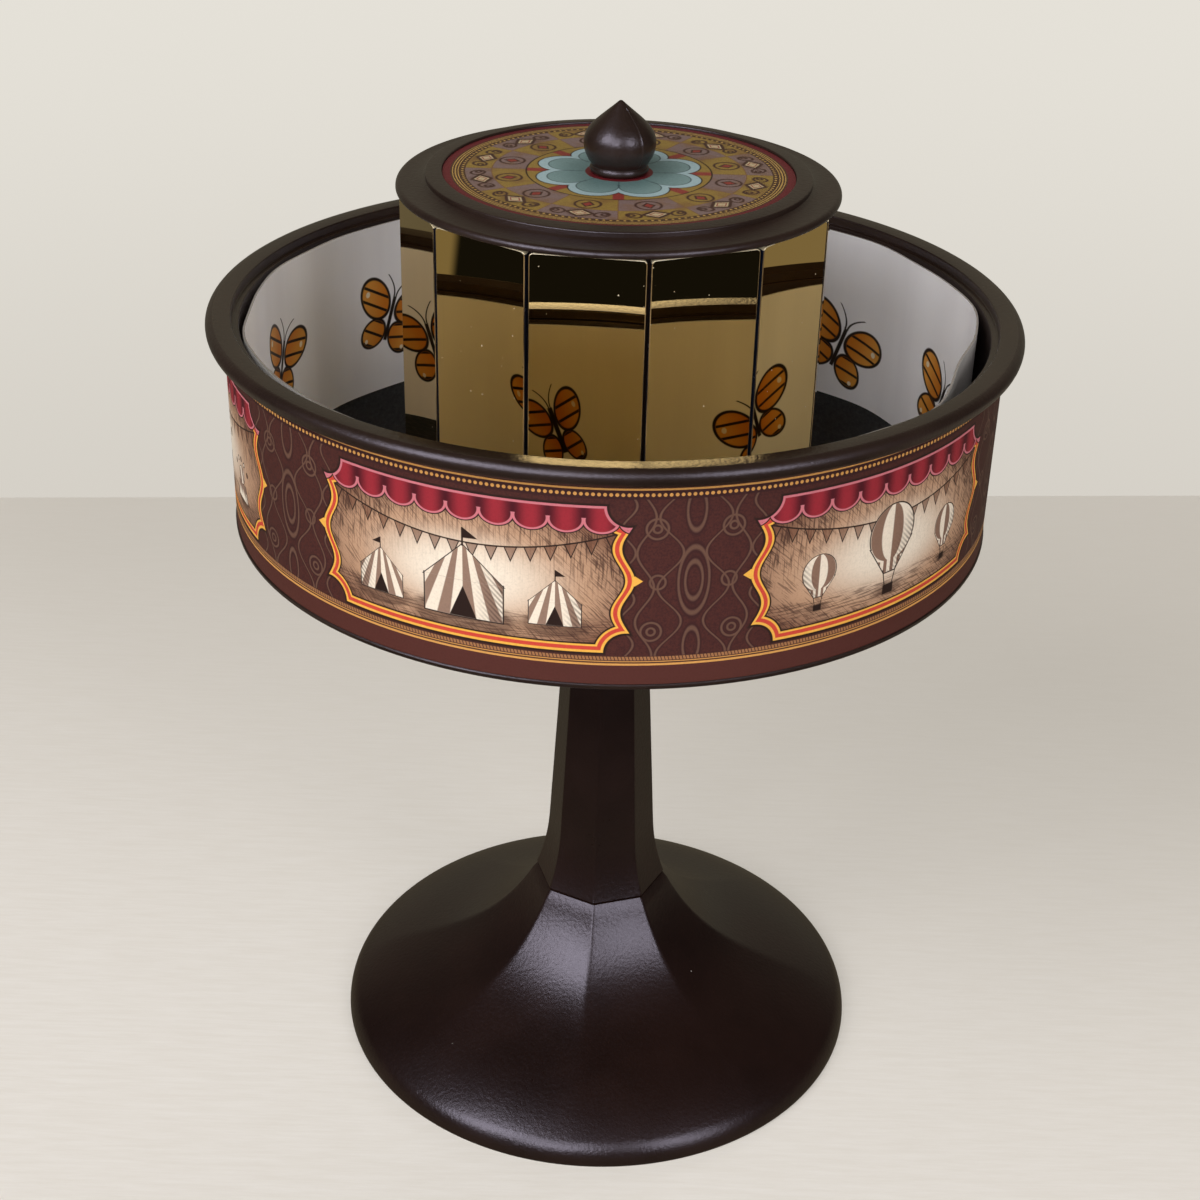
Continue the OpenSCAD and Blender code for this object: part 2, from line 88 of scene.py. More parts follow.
# The drum
SHELL_LOW, SHELL_HIGH = (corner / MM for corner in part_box("drum_shell"))
RIM_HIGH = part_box("rim_ring")[1] / MM
BAND_LOW, BAND_HIGH = (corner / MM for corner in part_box("outer_band"))
DISC_LOW, DISC_HIGH = (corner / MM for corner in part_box("floor_disc"))
HUB_R = 12
HUB_H = 9.5
HUB_ROUND = 0.8
HUB_FILLET = 1
BUSH_R = 4.5
BUSH_FLANGE_R = 6.9
BUSH_FLANGE_T = 1.2
FLOOR_Z = SHELL_LOW.z + HUB_H
FLOOR_T = 2.4
WALL_R = 85.75
WALL_IN = 82.8
LIP_R = SHELL_HIGH.x
LIP_T = 1.2
LIP_ROUND = 0.6
LIP_BEVEL = 0.2
WALL_TOP = SHELL_HIGH.z
BEAD_R = 1.9
RIM_DROP = 0.2
RIM_EDGE_R = 0.4
RIM_FILLET = 0.28
LEDGE_R = 84.4
LEDGE_H = 1.9
BAND_T = 0.35
BAND_CLEAR = 0.05
RIM_FOOT_R = BAND_HIGH.x + BAND_CLEAR
DISC_BEVEL = 0.15
DISC_CLEAR = 0.3

# The mirrors
MIRROR_N = 12
MIRROR_TURN = radians(7.9)
MIRROR_LOW, MIRROR_HIGH = (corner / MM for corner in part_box("mirror_panel_01"))
MIRROR_R = 47.45
MIRROR_FLAT = MIRROR_R * cos(pi / MIRROR_N)
MIRROR_T = 2
MIRROR_GAP = 0.9
MIRROR_BEVEL = 0.18
MIRROR_CORNER = 0.9

# The lid and its knob
LID_LOW, LID_HIGH = (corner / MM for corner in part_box("lid"))
LABEL_LOW, LABEL_HIGH = (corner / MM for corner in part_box("lid_label"))
KNOB_LOW, KNOB_HIGH = (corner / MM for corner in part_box("knob"))
CORE_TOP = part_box("mirror_core")[1].z / MM
LID_R = 48.05
LID_EDGE_H = 1.5
LID_EDGE_R = 1
LID_UNDER_R = 0.3
LID_BORE = 1.7
COVE_RISE = 0.7
COVE_CURVE = 3
COVE_STEPS = 16
COVE_STEP = 0.14
RING_R = 41.7
RING_RISE = 0.3
RING_ROUND = 0.3
LID_WEB_T = 2.2
PLUG_R = 41.43
PLUG_WALL = 2
RECESS_R = 38.1
KNOB_FOOT_R = 6.4
COLLAR_H = 2
KNOB_NECK_R = 6.05
NECK_H = 1.9
KNOB_R = 7.78
KNOB_WIDE_H = 6.6
BELLY_OUT = 0.9
BELLY_RISE = 1.3
BELLY_DROP = 2.1
OGEE_RISE = 3.2
OGEE_OUT = 4.1
OGEE_DROP = 3.8
TIP_R = 0.5
TIP_FLAT_R = 0.3
TIP_H = 0.15
RIDGE_H = 0.12
RIDGE_TURN = radians(-50)
RIDGE_HALF = 1.2 * pi / TURN_STEPS
RIDGE_TOP_R = 1.5

# The loose picture strip, with one slack stretch, and its waves by number, depth and phase
STRIP_LOW, STRIP_HIGH = (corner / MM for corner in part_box("picture_strip"))
STRIP_H = STRIP_HIGH.z - STRIP_LOW.z
STRIP_R = -STRIP_LOW.x
STRIP_T = 0.45
SLACK_DEPTH = 3.6
SLACK_AT = radians(-17)
SLACK_HALF = radians(24)
WAVES = ((9, 0.4, 0.4), (14, 0.25, 1.9), (23, 0.1, 0))
PICTURES = 12

# The UV map that goes once round the spindle
WRAP = "wrap"


def srgb(red, green, blue):
    """A linear colour from the 0 to 255 values of a paint chart."""
    def linear(c):
        c /= 255
        return c / 12.92 if c <= 0.04045 else ((c + 0.055) / 1.055) ** 2.4
    return (linear(red), linear(green), linear(blue), 1)


# Outlines

def arc(mid, r, start, end, steps=CORNER_STEPS):
    """Points of an arc, both ends included, with its angles in degrees."""
    turns = [radians(start + (end - start) * i / steps) for i in range(steps + 1)]
    return [(mid[0] + r * cos(a), mid[1] + r * sin(a)) for a in turns]


def curve(handles, steps, first=0):
    """Points of a curve with four handles."""
    weights = [((1 - t) ** 3, 3 * (1 - t) ** 2 * t, 3 * (1 - t) * t * t, t ** 3)
               for t in (i / steps for i in range(first, steps + 1))]
    return [tuple(sum(w * h[axis] for w, h in zip(weight, handles)) for axis in (0, 1)) for weight in weights]


# Meshes

def turned(outline, closed=True):
    """A turned solid: the outline of radius and height is spun once round the spindle."""
    bm = bmesh.new()
    verts = [bm.verts.new((r * MM, 0, z * MM)) for r, z in outline]
    edges = [bm.edges.new(pair) for pair in zip(verts, verts[1:])]
    if closed:
        edges.append(bm.edges.new((verts[-1], verts[0])))
    bmesh.ops.spin(bm, geom=verts + edges, axis=(0, 0, 1), cent=(0, 0, 0), angle=2 * pi, steps=TURN_STEPS,
                   use_merge=True)
    bmesh.ops.remove_doubles(bm, verts=bm.verts, dist=MM / 1000)
    bmesh.ops.recalc_face_normals(bm, faces=bm.faces)
    return bm


def flat_ring(inner, outer, low, high):
    """A turned ring of rectangular section."""
    return turned([(inner, low), (outer, low), (outer, high), (inner, high)])


def faceted(angle, share):
    """Radius at an angle from a corner, for a corner radius of 1.
    Share 1 is eight-sided and share 0 is round."""
    half = pi / FACETS
    off = (angle % (2 * half)) - half
    flats = sum(max(0, cos(off + 2 * half * k)) ** FACET_CRISP for k in (-1, 0, 1))
    return 1 - share + share * cos(half) / flats ** (1 / FACET_CRISP)


def lofted(rings):
    """A closed shell through rings of corner radius, height and eight-sided share.
    The last ring is joined to the first."""
    bm = bmesh.new()
    loops = []
    for radius, height, share in rings:
        verts = bmesh.ops.create_circle(bm, segments=FACETS * FACET_STEPS, radius=1)["verts"]
        loops.append(list({edge for vert in verts for edge in vert.link_edges}))
        for vert in verts:
            angle = atan2(vert.co.y, vert.co.x)
            r = radius * faceted(angle, share) * MM
            turn = angle + FACET_TURN - pi / 2
            vert.co = (r * cos(turn), r * sin(turn), height * MM)
    for low, high in zip(loops, loops[1:] + loops[:1]):
        bmesh.ops.bridge_loops(bm, edges=low + high)
    bmesh.ops.recalc_face_normals(bm, faces=bm.faces)
    return bm


def wrapped(bm, low, high):
    """Adds a UV map that goes once round the spindle and from the low to the high height.
    U is a half at the front and grows to the right of someone who looks at the front."""
    layer = bm.loops.layers.uv.new(WRAP)
    for face in bm.faces:
        mid = face.calc_center_median()
        mid_turn = atan2(mid.x, -mid.y)
        for loop in face.loops:
            at = loop.vert.co
            turn = atan2(at.x, -at.y) - mid_turn
            turn = mid_turn + (turn + pi) % (2 * pi) - pi
            loop[layer].uv = (turn / (2 * pi) + 0.5, (at.z / MM - low) / (high - low))
    return bm


def piece(name, bm, finishes, body, slot, *nodes, crease=CREASE):
    """Makes an object of a finished mesh that rides on a body and stands for CAD nodes."""
    mesh = bpy.data.meshes.new(name)
    bm.to_mesh(mesh)
    bm.free()
    for finish in finishes:
        mesh.materials.append(finish.material)
    mesh.shade_smooth()
    mesh.set_sharp_from_angle(angle=radians(crease))
    made = bpy.data.objects.new(name, mesh)
    bpy.context.scene.collection.objects.link(made)
    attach(made, body)
    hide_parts(*nodes)


# Shader sockets and finishes

class Wire:
    """A shader socket that adds a Math node for each operator used on it."""

    def __init__(self, nodes, socket):
        self.nodes = nodes
        self.socket = socket

    def math(self, operation, *others, clamp=False):
        return self.nodes.add("ShaderNodeMath", {"operation": operation, "use_clamp": clamp},
                              dict(enumerate((self, *others))))

    def reflected(self, operation, other):
        return self.nodes.add("ShaderNodeMath", {"operation": operation}, {0: other, 1: self})

    def __add__(self, other):
        return self.math("ADD", other)

    def __sub__(self, other):
        return self.math("SUBTRACT", other)

    def __rsub__(self, other):
        return self.reflected("SUBTRACT", other)

    def __mul__(self, other):
        return self.math("MULTIPLY", other)

    def __truediv__(self, other):
        return self.math("DIVIDE", other)

    def __rtruediv__(self, other):
        return self.reflected("DIVIDE", other)

    def __pow__(self, other):
        return self.math("POWER", other)

    def __mod__(self, other):
        return self.math("FLOORED_MODULO", other)

    def __abs__(self):
        return self.math("ABSOLUTE")

    def __neg__(self):
        return self * -1

    def __and__(self, other):
        """Where two distances are both inside."""
        return self.math("MAXIMUM", other)

    def __or__(self, other):
        """Where either of two distances is inside."""
        return self.math("MINIMUM", other)

    __radd__ = __add__
    __rmul__ = __mul__

    def inside(self, soft):
        """1 where a distance is below zero, with an edge of the given softness."""
        return self.math("MULTIPLY_ADD", -1 / soft, 0.5, clamp=True)

    def rise(self, low, high):
        """0 below low and 1 above high, with a smooth step between."""
        return self.nodes.add("ShaderNodeMapRange", {"interpolation_type": "SMOOTHSTEP"},
                              {"Value": self, "From Min": low, "From Max": high})

    def floor(self):
        return self.math("FLOOR")

    def sine(self):
        return self.math("SINE")

    def cosine(self):
        return self.math("COSINE")

    def other(self, output):
        return Wire(self.nodes, self.socket.node.outputs[output])


class Nodes:
    """A node tree, and the nodes that are added to it."""

    def __init__(self, tree):
        self.tree = tree

    def plug(self, node, inputs):
        for key, value in inputs.items():
            if isinstance(value, Wire):
                self.tree.links.new(value.socket, node.inputs[key])
            else:
                node.inputs[key].default_value = value

    def add(self, kind, settings=None, inputs=None, output=0):
        node = self.tree.nodes.new(kind)
        for key, value in (settings or {}).items():
            setattr(node, key, value)
        self.plug(node, inputs or {})
        return Wire(self, node.outputs[output])

    def mix(self, factor, first, second):
        return self.add("ShaderNodeMix", {"data_type": "RGBA"}, {0: factor, 6: first, 7: second}, output=2)

    def split(self, vector):
        x = self.add("ShaderNodeSeparateXYZ", {}, {0: vector})
        return x, x.other("Y"), x.other("Z")


class Finish(Nodes):
    """One material: a principled surface and the nodes that feed it."""

    def __init__(self, name, **constants):
        self.material = bpy.data.materials.new(name)
        self.material.use_nodes = True
        super().__init__(self.material.node_tree)
        self.surface = self.tree.nodes["Principled BSDF"]
        self.feed(**constants)
        place = self.add("ShaderNodeTexCoord", output="Object")
        self.mm = self.add("ShaderNodeVectorMath", {"operation": "SCALE"}, {0: place, "Scale": 1 / MM})

    def feed(self, **inputs):
        self.plug(self.surface, {key.replace("_", " "): value for key, value in inputs.items()})

    def wrap(self):
        """The share of a turn round the spindle, and of the height."""
        u, v, _ = self.split(self.add("ShaderNodeUVMap", {"uv_map": WRAP}))
        return u, v

    def noise(self, size, detail=2, stretch=None, rough=0.5, vector=None):
        """Noise whose blots are about the given size in millimetres."""
        vector = vector or self.mm
        if stretch:
            vector = self.add("ShaderNodeVectorMath", {"operation": "MULTIPLY"}, {0: vector, 1: stretch})
        return self.add("ShaderNodeTexNoise", {},
                        {"Vector": vector, "Scale": 1 / size, "Detail": detail, "Roughness": rough})

    def specks(self, spacing, size, share):
        """Small dots of dust, in a share of the cells."""
        near = self.add("ShaderNodeTexVoronoi", {}, {"Vector": self.mm, "Scale": 1 / spacing})
        hue = self.add("ShaderNodeSeparateColor", {}, {"Color": near.other("Color")})
        dot = (near * spacing - hue.other(1) * size).inside(size / 3)
        return dot * (hue - share).inside(0.02)

    def paint(self, art, distance, colour, soft=0.12):
        """Lays a colour over the art where a distance is inside."""
        return self.mix(distance.inside(soft), art, colour)

    def point(self, x, y):
        return self.add("ShaderNodeCombineXYZ", {}, {"X": x, "Y": y})

    def disc(self, point, x, y, r):
        """Distance to a disc's edge, below zero inside."""
        far = self.add("ShaderNodeVectorMath", {"operation": "DISTANCE"}, {0: point, 1: (x, y, 0)}, "Value")
        return far - r

    def bump(self, height, depth, strength):
        """Feeds a height to the normal: depth is the height's full size in millimetres."""
        self.feed(Normal=self.add("ShaderNodeBump", {},
                                  {"Strength": strength, "Distance": depth * MM, "Height": height}))


def box(x, y, half_w, half_h):
    """Distance to an upright rectangle round the middle, below zero inside."""
    return (abs(x) - half_w) & (abs(y) - half_h)


DUST = srgb(190, 184, 176)
MIRROR_GOLD = (0.66, 0.48, 0.19, 1)
MIRROR_DUST = (0.85, 0.8, 0.68, 1)
# Painted light colour: this tint turns the plastics' highlights bluer than the lamps make them.
GLOSS_PAINTED_LIGHT_TINT = (0.9, 0.85, 1, 1)


def moulded_plastic(name, dark, light, gloss):
    """Brown moulded plastic: a spark-eroded grain, a cloudy sheen, a little dust and a painted bluish tint in
    its highlights.
    """
    finish = Finish(name, Specular_IOR_Level=0.66, Specular_Tint=GLOSS_PAINTED_LIGHT_TINT)
    cloud = finish.noise(size=22, detail=3)
    grain = finish.noise(size=0.9, detail=3, rough=0.6)
    dust = finish.specks(spacing=6, size=0.16, share=0.12)
    colour = finish.mix(cloud.rise(0.3, 0.7), dark, light)
    finish.feed(Base_Color=finish.mix(dust * 0.7, colour, DUST),
                Roughness=gloss + (cloud - 0.5) * 0.1 + (grain - 0.5) * 0.12)
    finish.bump(grain, depth=0.09, strength=0.8)
    return finish


def black_sheet():
    """Black sheet with short felt-like streaks."""
    finish = Finish("black_sheet", Specular_IOR_Level=0.3)
    streak = finish.noise(size=0.9, detail=3, stretch=(1, 0.28, 1), rough=0.7)
    finish.feed(Base_Color=finish.mix(streak.rise(0.35, 0.75), srgb(3, 3, 3), srgb(16, 15, 14)),
                Roughness=0.85 - streak * 0.4)
    finish.bump(streak, depth=0.2, strength=0.8)
    return finish


def gold_mirror():
    """Gold-tinted mirror with dust and hairline wipes."""
    finish = Finish("gold_mirror")
    dust = finish.specks(spacing=2.3, size=0.17, share=0.5)
    wipe = finish.noise(size=7, detail=4, stretch=(1, 1, 0.18))
    finish.feed(Base_Color=finish.mix(dust * 0.6, MIRROR_GOLD, MIRROR_DUST), Metallic=1 - dust * 0.6,
                Roughness=0.008 + wipe.rise(0.55, 0.8) * 0.02 + dust * 0.5)
    return finish


def painted_light_edge(name, dark, light):
    """A polished edge of a mirror, faintly cloudy, whose colour paints its light: pale where lit, dark where
    shaded.
    """
    finish = Finish(name, Specular_IOR_Level=0.6)
    cloud = finish.noise(size=4)
    finish.feed(Base_Color=finish.mix(cloud, dark, light), Roughness=0.2 + cloud * 0.1)
    return finish


def mirror_arris_painted_highlight():
    """The narrow polished slope down each side of a mirror, with a patchy painted highlight in its colour."""
    finish = Finish("mirror_arris_painted_highlight", Specular_IOR_Level=0.6)
    cloud = finish.noise(size=6, detail=3, stretch=(1, 1, 0.3))
    finish.feed(Base_Color=finish.mix(cloud.rise(0.35, 0.65), srgb(50, 39, 23), srgb(142, 116, 74)),
                Roughness=0.2 + cloud * 0.1)
    return finish


def metal(name, colour, rough):
    """Plain plated metal with a fine drawn grain."""
    finish = Finish(name, Metallic=1.0)
    drawn = finish.noise(size=0.5, detail=3, stretch=(1, 1, 0.2))
    finish.feed(Base_Color=finish.mix(drawn, [c * 0.8 for c in colour[:3]] + [1], colour),
                Roughness=rough + drawn * 0.2)
    finish.bump(drawn, depth=0.01, strength=0.5)
    return finish


def natural_nylon():
    """Cloudy off-white nylon."""
    finish = Finish("natural_nylon", Specular_IOR_Level=0.5)
    cloud = finish.noise(size=3)
    finish.feed(Base_Color=finish.mix(cloud, srgb(222, 218, 206), srgb(238, 235, 226)),
                Roughness=0.35 + cloud * 0.2)
    return finish


# The band's print

MAROON = srgb(79, 39, 32)
MAROON_DARK = srgb(57, 27, 26)
MAUVE = srgb(98, 69, 55)
GOLD = srgb(196, 142, 74)
GOLD_DIM = srgb(150, 104, 66)
YELLOW = srgb(222, 166, 66)
RED = srgb(190, 62, 46)
PINK = srgb(190, 108, 116)
CRIMSON = srgb(142, 32, 44)
CRIMSON_DARK = srgb(72, 12, 24)
CREAM = srgb(222, 210, 190)
TAN = srgb(178, 142, 112)
SEPIA = srgb(112, 74, 54)
UMBER = srgb(66, 40, 30)
INK = srgb(40, 24, 18)

BAND_H = BAND_HIGH.z - BAND_LOW.z
PLAQUES = 6
PLAQUE_TURN = -19 / 360
PLAQUE_PITCH = 2 * pi * BAND_HIGH.x / PLAQUES
PLAQUE_HALF = (30.5, 13.9)
PLAQUE_MID = 1.5
PLAQUE_NOTCH = 4.4
PLAQUE_FRAME = 1.9
PLAQUE_SHADE = 2.4
PLAQUE_WAVE = 1.3
CUSP_OUT = 3.2
CUSP_HALF = 1.1
LOW_CUSP_UP = 0.5
LOW_CUSP_HALF = 1
CUSP_SLOPE = 0.7
FRAME_LINE_AT = 0.95
FRAME_LINE_HALF = 0.42
FRAME_INNER = 0.1
PICTURE_INSET = 0.25

# Rows along the band's edges, by distance from the top or the bottom edge and half width
TOP_GROUND = 2.6
TOP_LINE = (0.55, 0.2)
DOTS = 80
DOT_ROW = 1.7
DOT_R = 0.36
LOW_GROUND = 6.4
LOW_LINES = ((4.5, 0.24), (5.15, 0.1))
ROPE_ROW = (5.85, 0.4)
ROPE_STRAND = 0.26
ROPE_FINE = 1.6
ROPE_SLANT = 0.5
PLAIN_MARGIN = 4.2

# Strapwork: three wavy straps by distance from the middle between two plaques and swing,
# ovals by squashed height and radius, and rings by distance, height and radius
STRAPS = ((4.6, 2.4), (9.4, 1.7), (12.8, 1.4))
STRAP_OVALS = ((0.6, 3), (0.6, 1.7), (6.9, 1.8), (-5.4, 1.6))
STRAP_RINGS = ((7.4, 12.6, 2.1), (7.4, 12.6, 0.8), (8, -9.6, 2), (8, -9.6, 0.8), (7, 1.2, 1.5))
STRAP_WAVE = 0.42
STRAP_FINE_WAVE = 0.63
OVAL_SQUASH = 0.42
STRAP_HALF = 0.22
STRAP_SHADE = 0.55


def printed_band():
    """The band's print: six sepia plaques on a maroon ground of fine mauve strapwork."""
    finish = Finish("printed_band", Specular_IOR_Level=0.25)
    u, v = finish.wrap()
    along = (u - 0.5 - PLAQUE_TURN) * PLAQUES
    cell = (along + 0.5).floor()
    x = (along - cell) * PLAQUE_PITCH
    y = (v - 0.5) * BAND_H
    grain = finish.noise(size=0.45, detail=3, rough=0.7)
    art = finish.mix(grain.rise(0.3, 0.7), MAROON_DARK, MAROON)
    art = strapwork(finish, art, x, y)
    art = border_rows(finish, art, x, y)
    art = plaque(finish, art, x, y - PLAQUE_MID, cell % len(MOTIFS))
    finish.feed(Base_Color=finish.mix(grain.rise(0.4, 0.8) * 0.16, art, INK), Roughness=0.5 + grain * 0.16)
    finish.bump(grain, depth=0.01, strength=0.4)
    return finish


def border_rows(finish, art, x, y):
    """Gold lines, a row of dots above and a row of rope below, and the plain margin under them."""
    top, low = BAND_H / 2, -BAND_H / 2
    pitch = PLAQUE_PITCH / DOTS
    dot_x = (x / pitch % 1 - 0.5) * pitch
    rope_x = abs((x * ROPE_FINE + y * ROPE_SLANT) / pitch % 1 - 0.5) * (pitch / ROPE_FINE)
    art = finish.paint(art, abs(y - top) - TOP_GROUND, MAROON_DARK)
    art = finish.paint(art, y - low - LOW_GROUND, MAROON_DARK)
    lines = [(top - TOP_LINE[0], TOP_LINE[1])] + [(low + rise, half) for rise, half in LOW_LINES]
    for height, half in lines:
        art = finish.paint(art, abs(y - height) - half, GOLD)
    art = finish.paint(art, finish.disc(finish.point(dot_x, y - top + DOT_ROW), 0, 0, DOT_R), GOLD)
    rope_at, rope_half = ROPE_ROW
    art = finish.paint(art, (abs(y - low - rope_at) - rope_half) & (rope_x - ROPE_STRAND), GOLD_DIM)
    return finish.paint(art, y - low - PLAIN_MARGIN, MAROON)


def strapwork(finish, art, x, y):
    """Fine wavy lines and nested ovals between the plaques, the same on both sides of their middle."""
    side = PLAQUE_PITCH / 2 - abs(x)
    wave = (y * STRAP_WAVE).cosine()
    (near, near_swing), (mid, mid_swing), (far, far_swing) = STRAPS
    lines = abs(side - near - wave * near_swing) | abs(side - mid + wave * mid_swing)
    lines = lines | abs(side - far - (y * STRAP_FINE_WAVE).sine() * far_swing)
    tall = finish.point(side, y * OVAL_SQUASH)
    for at_y, r in STRAP_OVALS:
        lines = lines | abs(finish.disc(tall, 0, at_y, r))
    point = finish.point(side, y)
    for at_x, at_y, r in STRAP_RINGS:
        lines = lines | abs(finish.disc(point, at_x, at_y, r))
    art = finish.paint(art, lines - STRAP_SHADE, MAROON_DARK, soft=0.3)
    return finish.paint(art, lines - STRAP_HALF, MAUVE, soft=0.22)


def plaque(finish, art, x, y, kind):
    """One framed sepia picture under a scalloped valance."""
    half_w, half_h = PLAQUE_HALF
    point = finish.point(abs(x), abs(y))
    waist = (y * (2 * pi / half_h)).cosine() * PLAQUE_WAVE
    notch = finish.disc(point, half_w + PLAQUE_FRAME, half_h + PLAQUE_FRAME, PLAQUE_NOTCH + PLAQUE_FRAME)
    edge = (abs(x) - waist - half_w) & (abs(y) - half_h) & -notch
    side_cusp = abs(abs(x) - half_w - CUSP_OUT) * CUSP_SLOPE + abs(y) - CUSP_HALF
    low_cusp = abs(x) * CUSP_SLOPE + abs(y + half_h - LOW_CUSP_UP) - LOW_CUSP_HALF
    art = finish.paint(art, edge - PLAQUE_SHADE, INK, soft=0.3)
    art = finish.paint(art, (edge - PLAQUE_FRAME) | (side_cusp | low_cusp), YELLOW)
    art = finish.paint(art, abs(edge - FRAME_LINE_AT) - FRAME_LINE_HALF, RED)
    art = finish.paint(art, edge - FRAME_INNER, INK)
    art = finish.paint(art, edge + PICTURE_INSET, picture(finish, x, y, kind))
    return valance(finish, art, x, y, edge)


# Places in a picture, from the plaque's middle: its glow, its sky and ground,
# and the two small motifs beside the large one
GLOW_DROP = 1.5
SKY_FROM, SKY_TO = -6, 2
GROUND_FROM = 7.4
GROUND_DROP = 11.2
SMALL_AT = 18.5
SMALL_DROP = 3.4
SMALL_SCALE = 0.62

# Pen strokes by their fineness across and along, and lines by half width
STROKE = (2.6, 0.2)
SLANT_STROKE = (2.2, 0.16)
HATCH_WAVE = 5.6
PEN_HALF = 0.16
PEN_OUTLINE = 0.3


def picture(finish, x, y, kind):
    """A sepia pen drawing, pale in the middle and dark at its edges."""
    half_w, half_h = PLAQUE_HALF
    fine, long = STROKE
    slant_fine, slant_long = SLANT_STROKE
    far = finish.disc(finish.point(x / half_w, (y + GLOW_DROP) / half_h), 0, 0, 0)
    upright = finish.noise(1, detail=3, vector=finish.point(x * fine, y * long))
    slanted = finish.noise(1, detail=3, vector=finish.point((x + y) * slant_fine, (x - y) * slant_long))
    level = finish.noise(1, detail=2, vector=finish.point(x * long, y * fine))
    shade = far.rise(0.45, 1.1)
    sky = y.rise(SKY_FROM, SKY_TO)
    scene = finish.mix(far.rise(0.2, 0.85), CREAM, TAN)
    scene = finish.mix(far.rise(0.75, 1.3), scene, SEPIA)
    scene = finish.mix(upright.rise(0.48, 0.62) * (0.1 + shade * 0.75) * sky, scene, UMBER)
    scene = finish.mix(slanted.rise(0.5, 0.62) * shade * 0.8, scene, UMBER)
    scene = finish.mix(level.rise(0.45, 0.62) * (-y - GROUND_FROM).rise(0, 2) * 0.65, scene, UMBER)
    hatch = ((x + y) * HATCH_WAVE).sine() * 0.5 + 0.5
    scene = bunting(finish, scene, x, y)
    small_x, small_y = (abs(x) - SMALL_AT) / SMALL_SCALE, (y + SMALL_DROP) / SMALL_SCALE
    for number, motif in enumerate(MOTIFS):
        drawn = motif(finish, scene, x, y, hatch)
        drawn = motif(finish, drawn, small_x, small_y, hatch)
        scene = finish.mix((abs(kind - number) - 0.5).inside(0.1), scene, drawn)
    return scene


def valance(finish, art, x, y, edge):
    """A crimson scalloped valance with pink piping along the top of the plaque."""
    swags, swag_r, drop, sag = 9, 0.52, 1.2, 1.3
    outline, piping = 0.3, 0.5
    half_w, half_h = PLAQUE_HALF
    pitch = 2 * half_w / swags
    swag_x = (x / pitch + 0.5) % 1 - 0.5
    top = half_h - drop
    swag = finish.disc(finish.point(swag_x * pitch, (y - top) * sag), 0, 0, pitch * swag_r) | (top - y)
    cloth = swag & (edge - PLAQUE_FRAME)
    fold = finish.mix((abs(swag_x) * 2).rise(0.1, 1), CRIMSON, CRIMSON_DARK)
    art = finish.paint(art, cloth - outline, INK)
    art = finish.paint(art, cloth, PINK)
    return finish.paint(art, cloth + piping, fold)


def bunting(finish, scene, x, y):
    """A sagging string of pennants across the picture."""
    height, sag, string_half = 5.2, 190, PEN_HALF
    pitch, flag_h, flag_slope, flag_line = 3.9, 3, 0.42, 0.12
    string = y - height - x * x / sag
    flag_x = abs(x / pitch % 1 - 0.5) * pitch
    flag = (flag_x + (-string - flag_h) * flag_slope) & string
    scene = finish.mix(flag.inside(0.15) * 0.7, scene, SEPIA)
    scene = finish.paint(scene, abs(flag) - flag_line, INK)
    return finish.paint(scene, abs(string) - string_half, INK)


def shadow(finish, scene, x, y, half_w):
    """A soft patch of shade on the ground under a thing."""
    flatness, softness, strength = 2.6, 3, 0.6
    far = finish.disc(finish.point(x, (y + GROUND_DROP) * flatness), 0, 0, half_w)
    return finish.mix(far.inside(softness) * strength, scene, UMBER)


def outlined(finish, scene, shape):
    """A cream shape with an ink line round it."""
    scene = finish.paint(scene, shape - PEN_OUTLINE, INK)
    return finish.paint(scene, shape, CREAM)


def banded(finish, scene, shape, band, strength=0.85, soft=0.3):
    """Sepia bands on a shape, where their own distance is inside."""
    return finish.mix(shape.inside(0.1) * band.inside(soft) * strength, scene, SEPIA)


def hatched(finish, scene, shape, hatch, side, strength):
    """Ink hatching towards a shape's shaded side."""
    return finish.mix(shape.inside(0.1) * hatch * side * strength, scene, INK)


def tent(finish, scene, x, y, hatch):
    """A striped show tent with a pennant."""
    peak, pitch, eaves = 4.6, 1.05, 3.2
    wall_drop, wall_half = 7.2, (8.2, 4)
    stripe_w, stripe_flare, stripe_wave = 9.5, 0.9, 22
    flag_at, flag_droop, flag_l, flag_taper = 7.2, 0.3, 3.2, 0.36
    pole_at, pole_half = 6.3, (0.2, 2)
    door_drop, door_slope = 4.4, 0.42
    roof = (abs(x) - (peak - y) * pitch) & (-y - eaves) & (y - peak)
    cloth = roof | box(x, y + wall_drop, *wall_half)
    stripe = (x / (stripe_w - y * stripe_flare) * stripe_wave).sine()
    flag = (abs(y - flag_at + x * flag_droop) - (flag_l - x) * flag_taper) & (-x)
    pole = box(x, y - pole_at, *pole_half)
    door = (abs(x) - (-y - door_drop) * door_slope) & (-y - GROUND_DROP)
    scene = shadow(finish, scene, x, y, half_w=11)
    scene = outlined(finish, scene, cloth)
    scene = banded(finish, scene, cloth, -stripe)
    scene = hatched(finish, scene, cloth, hatch, side=x.rise(1, 9), strength=0.7)
    return finish.paint(scene, door | pole | flag, INK)


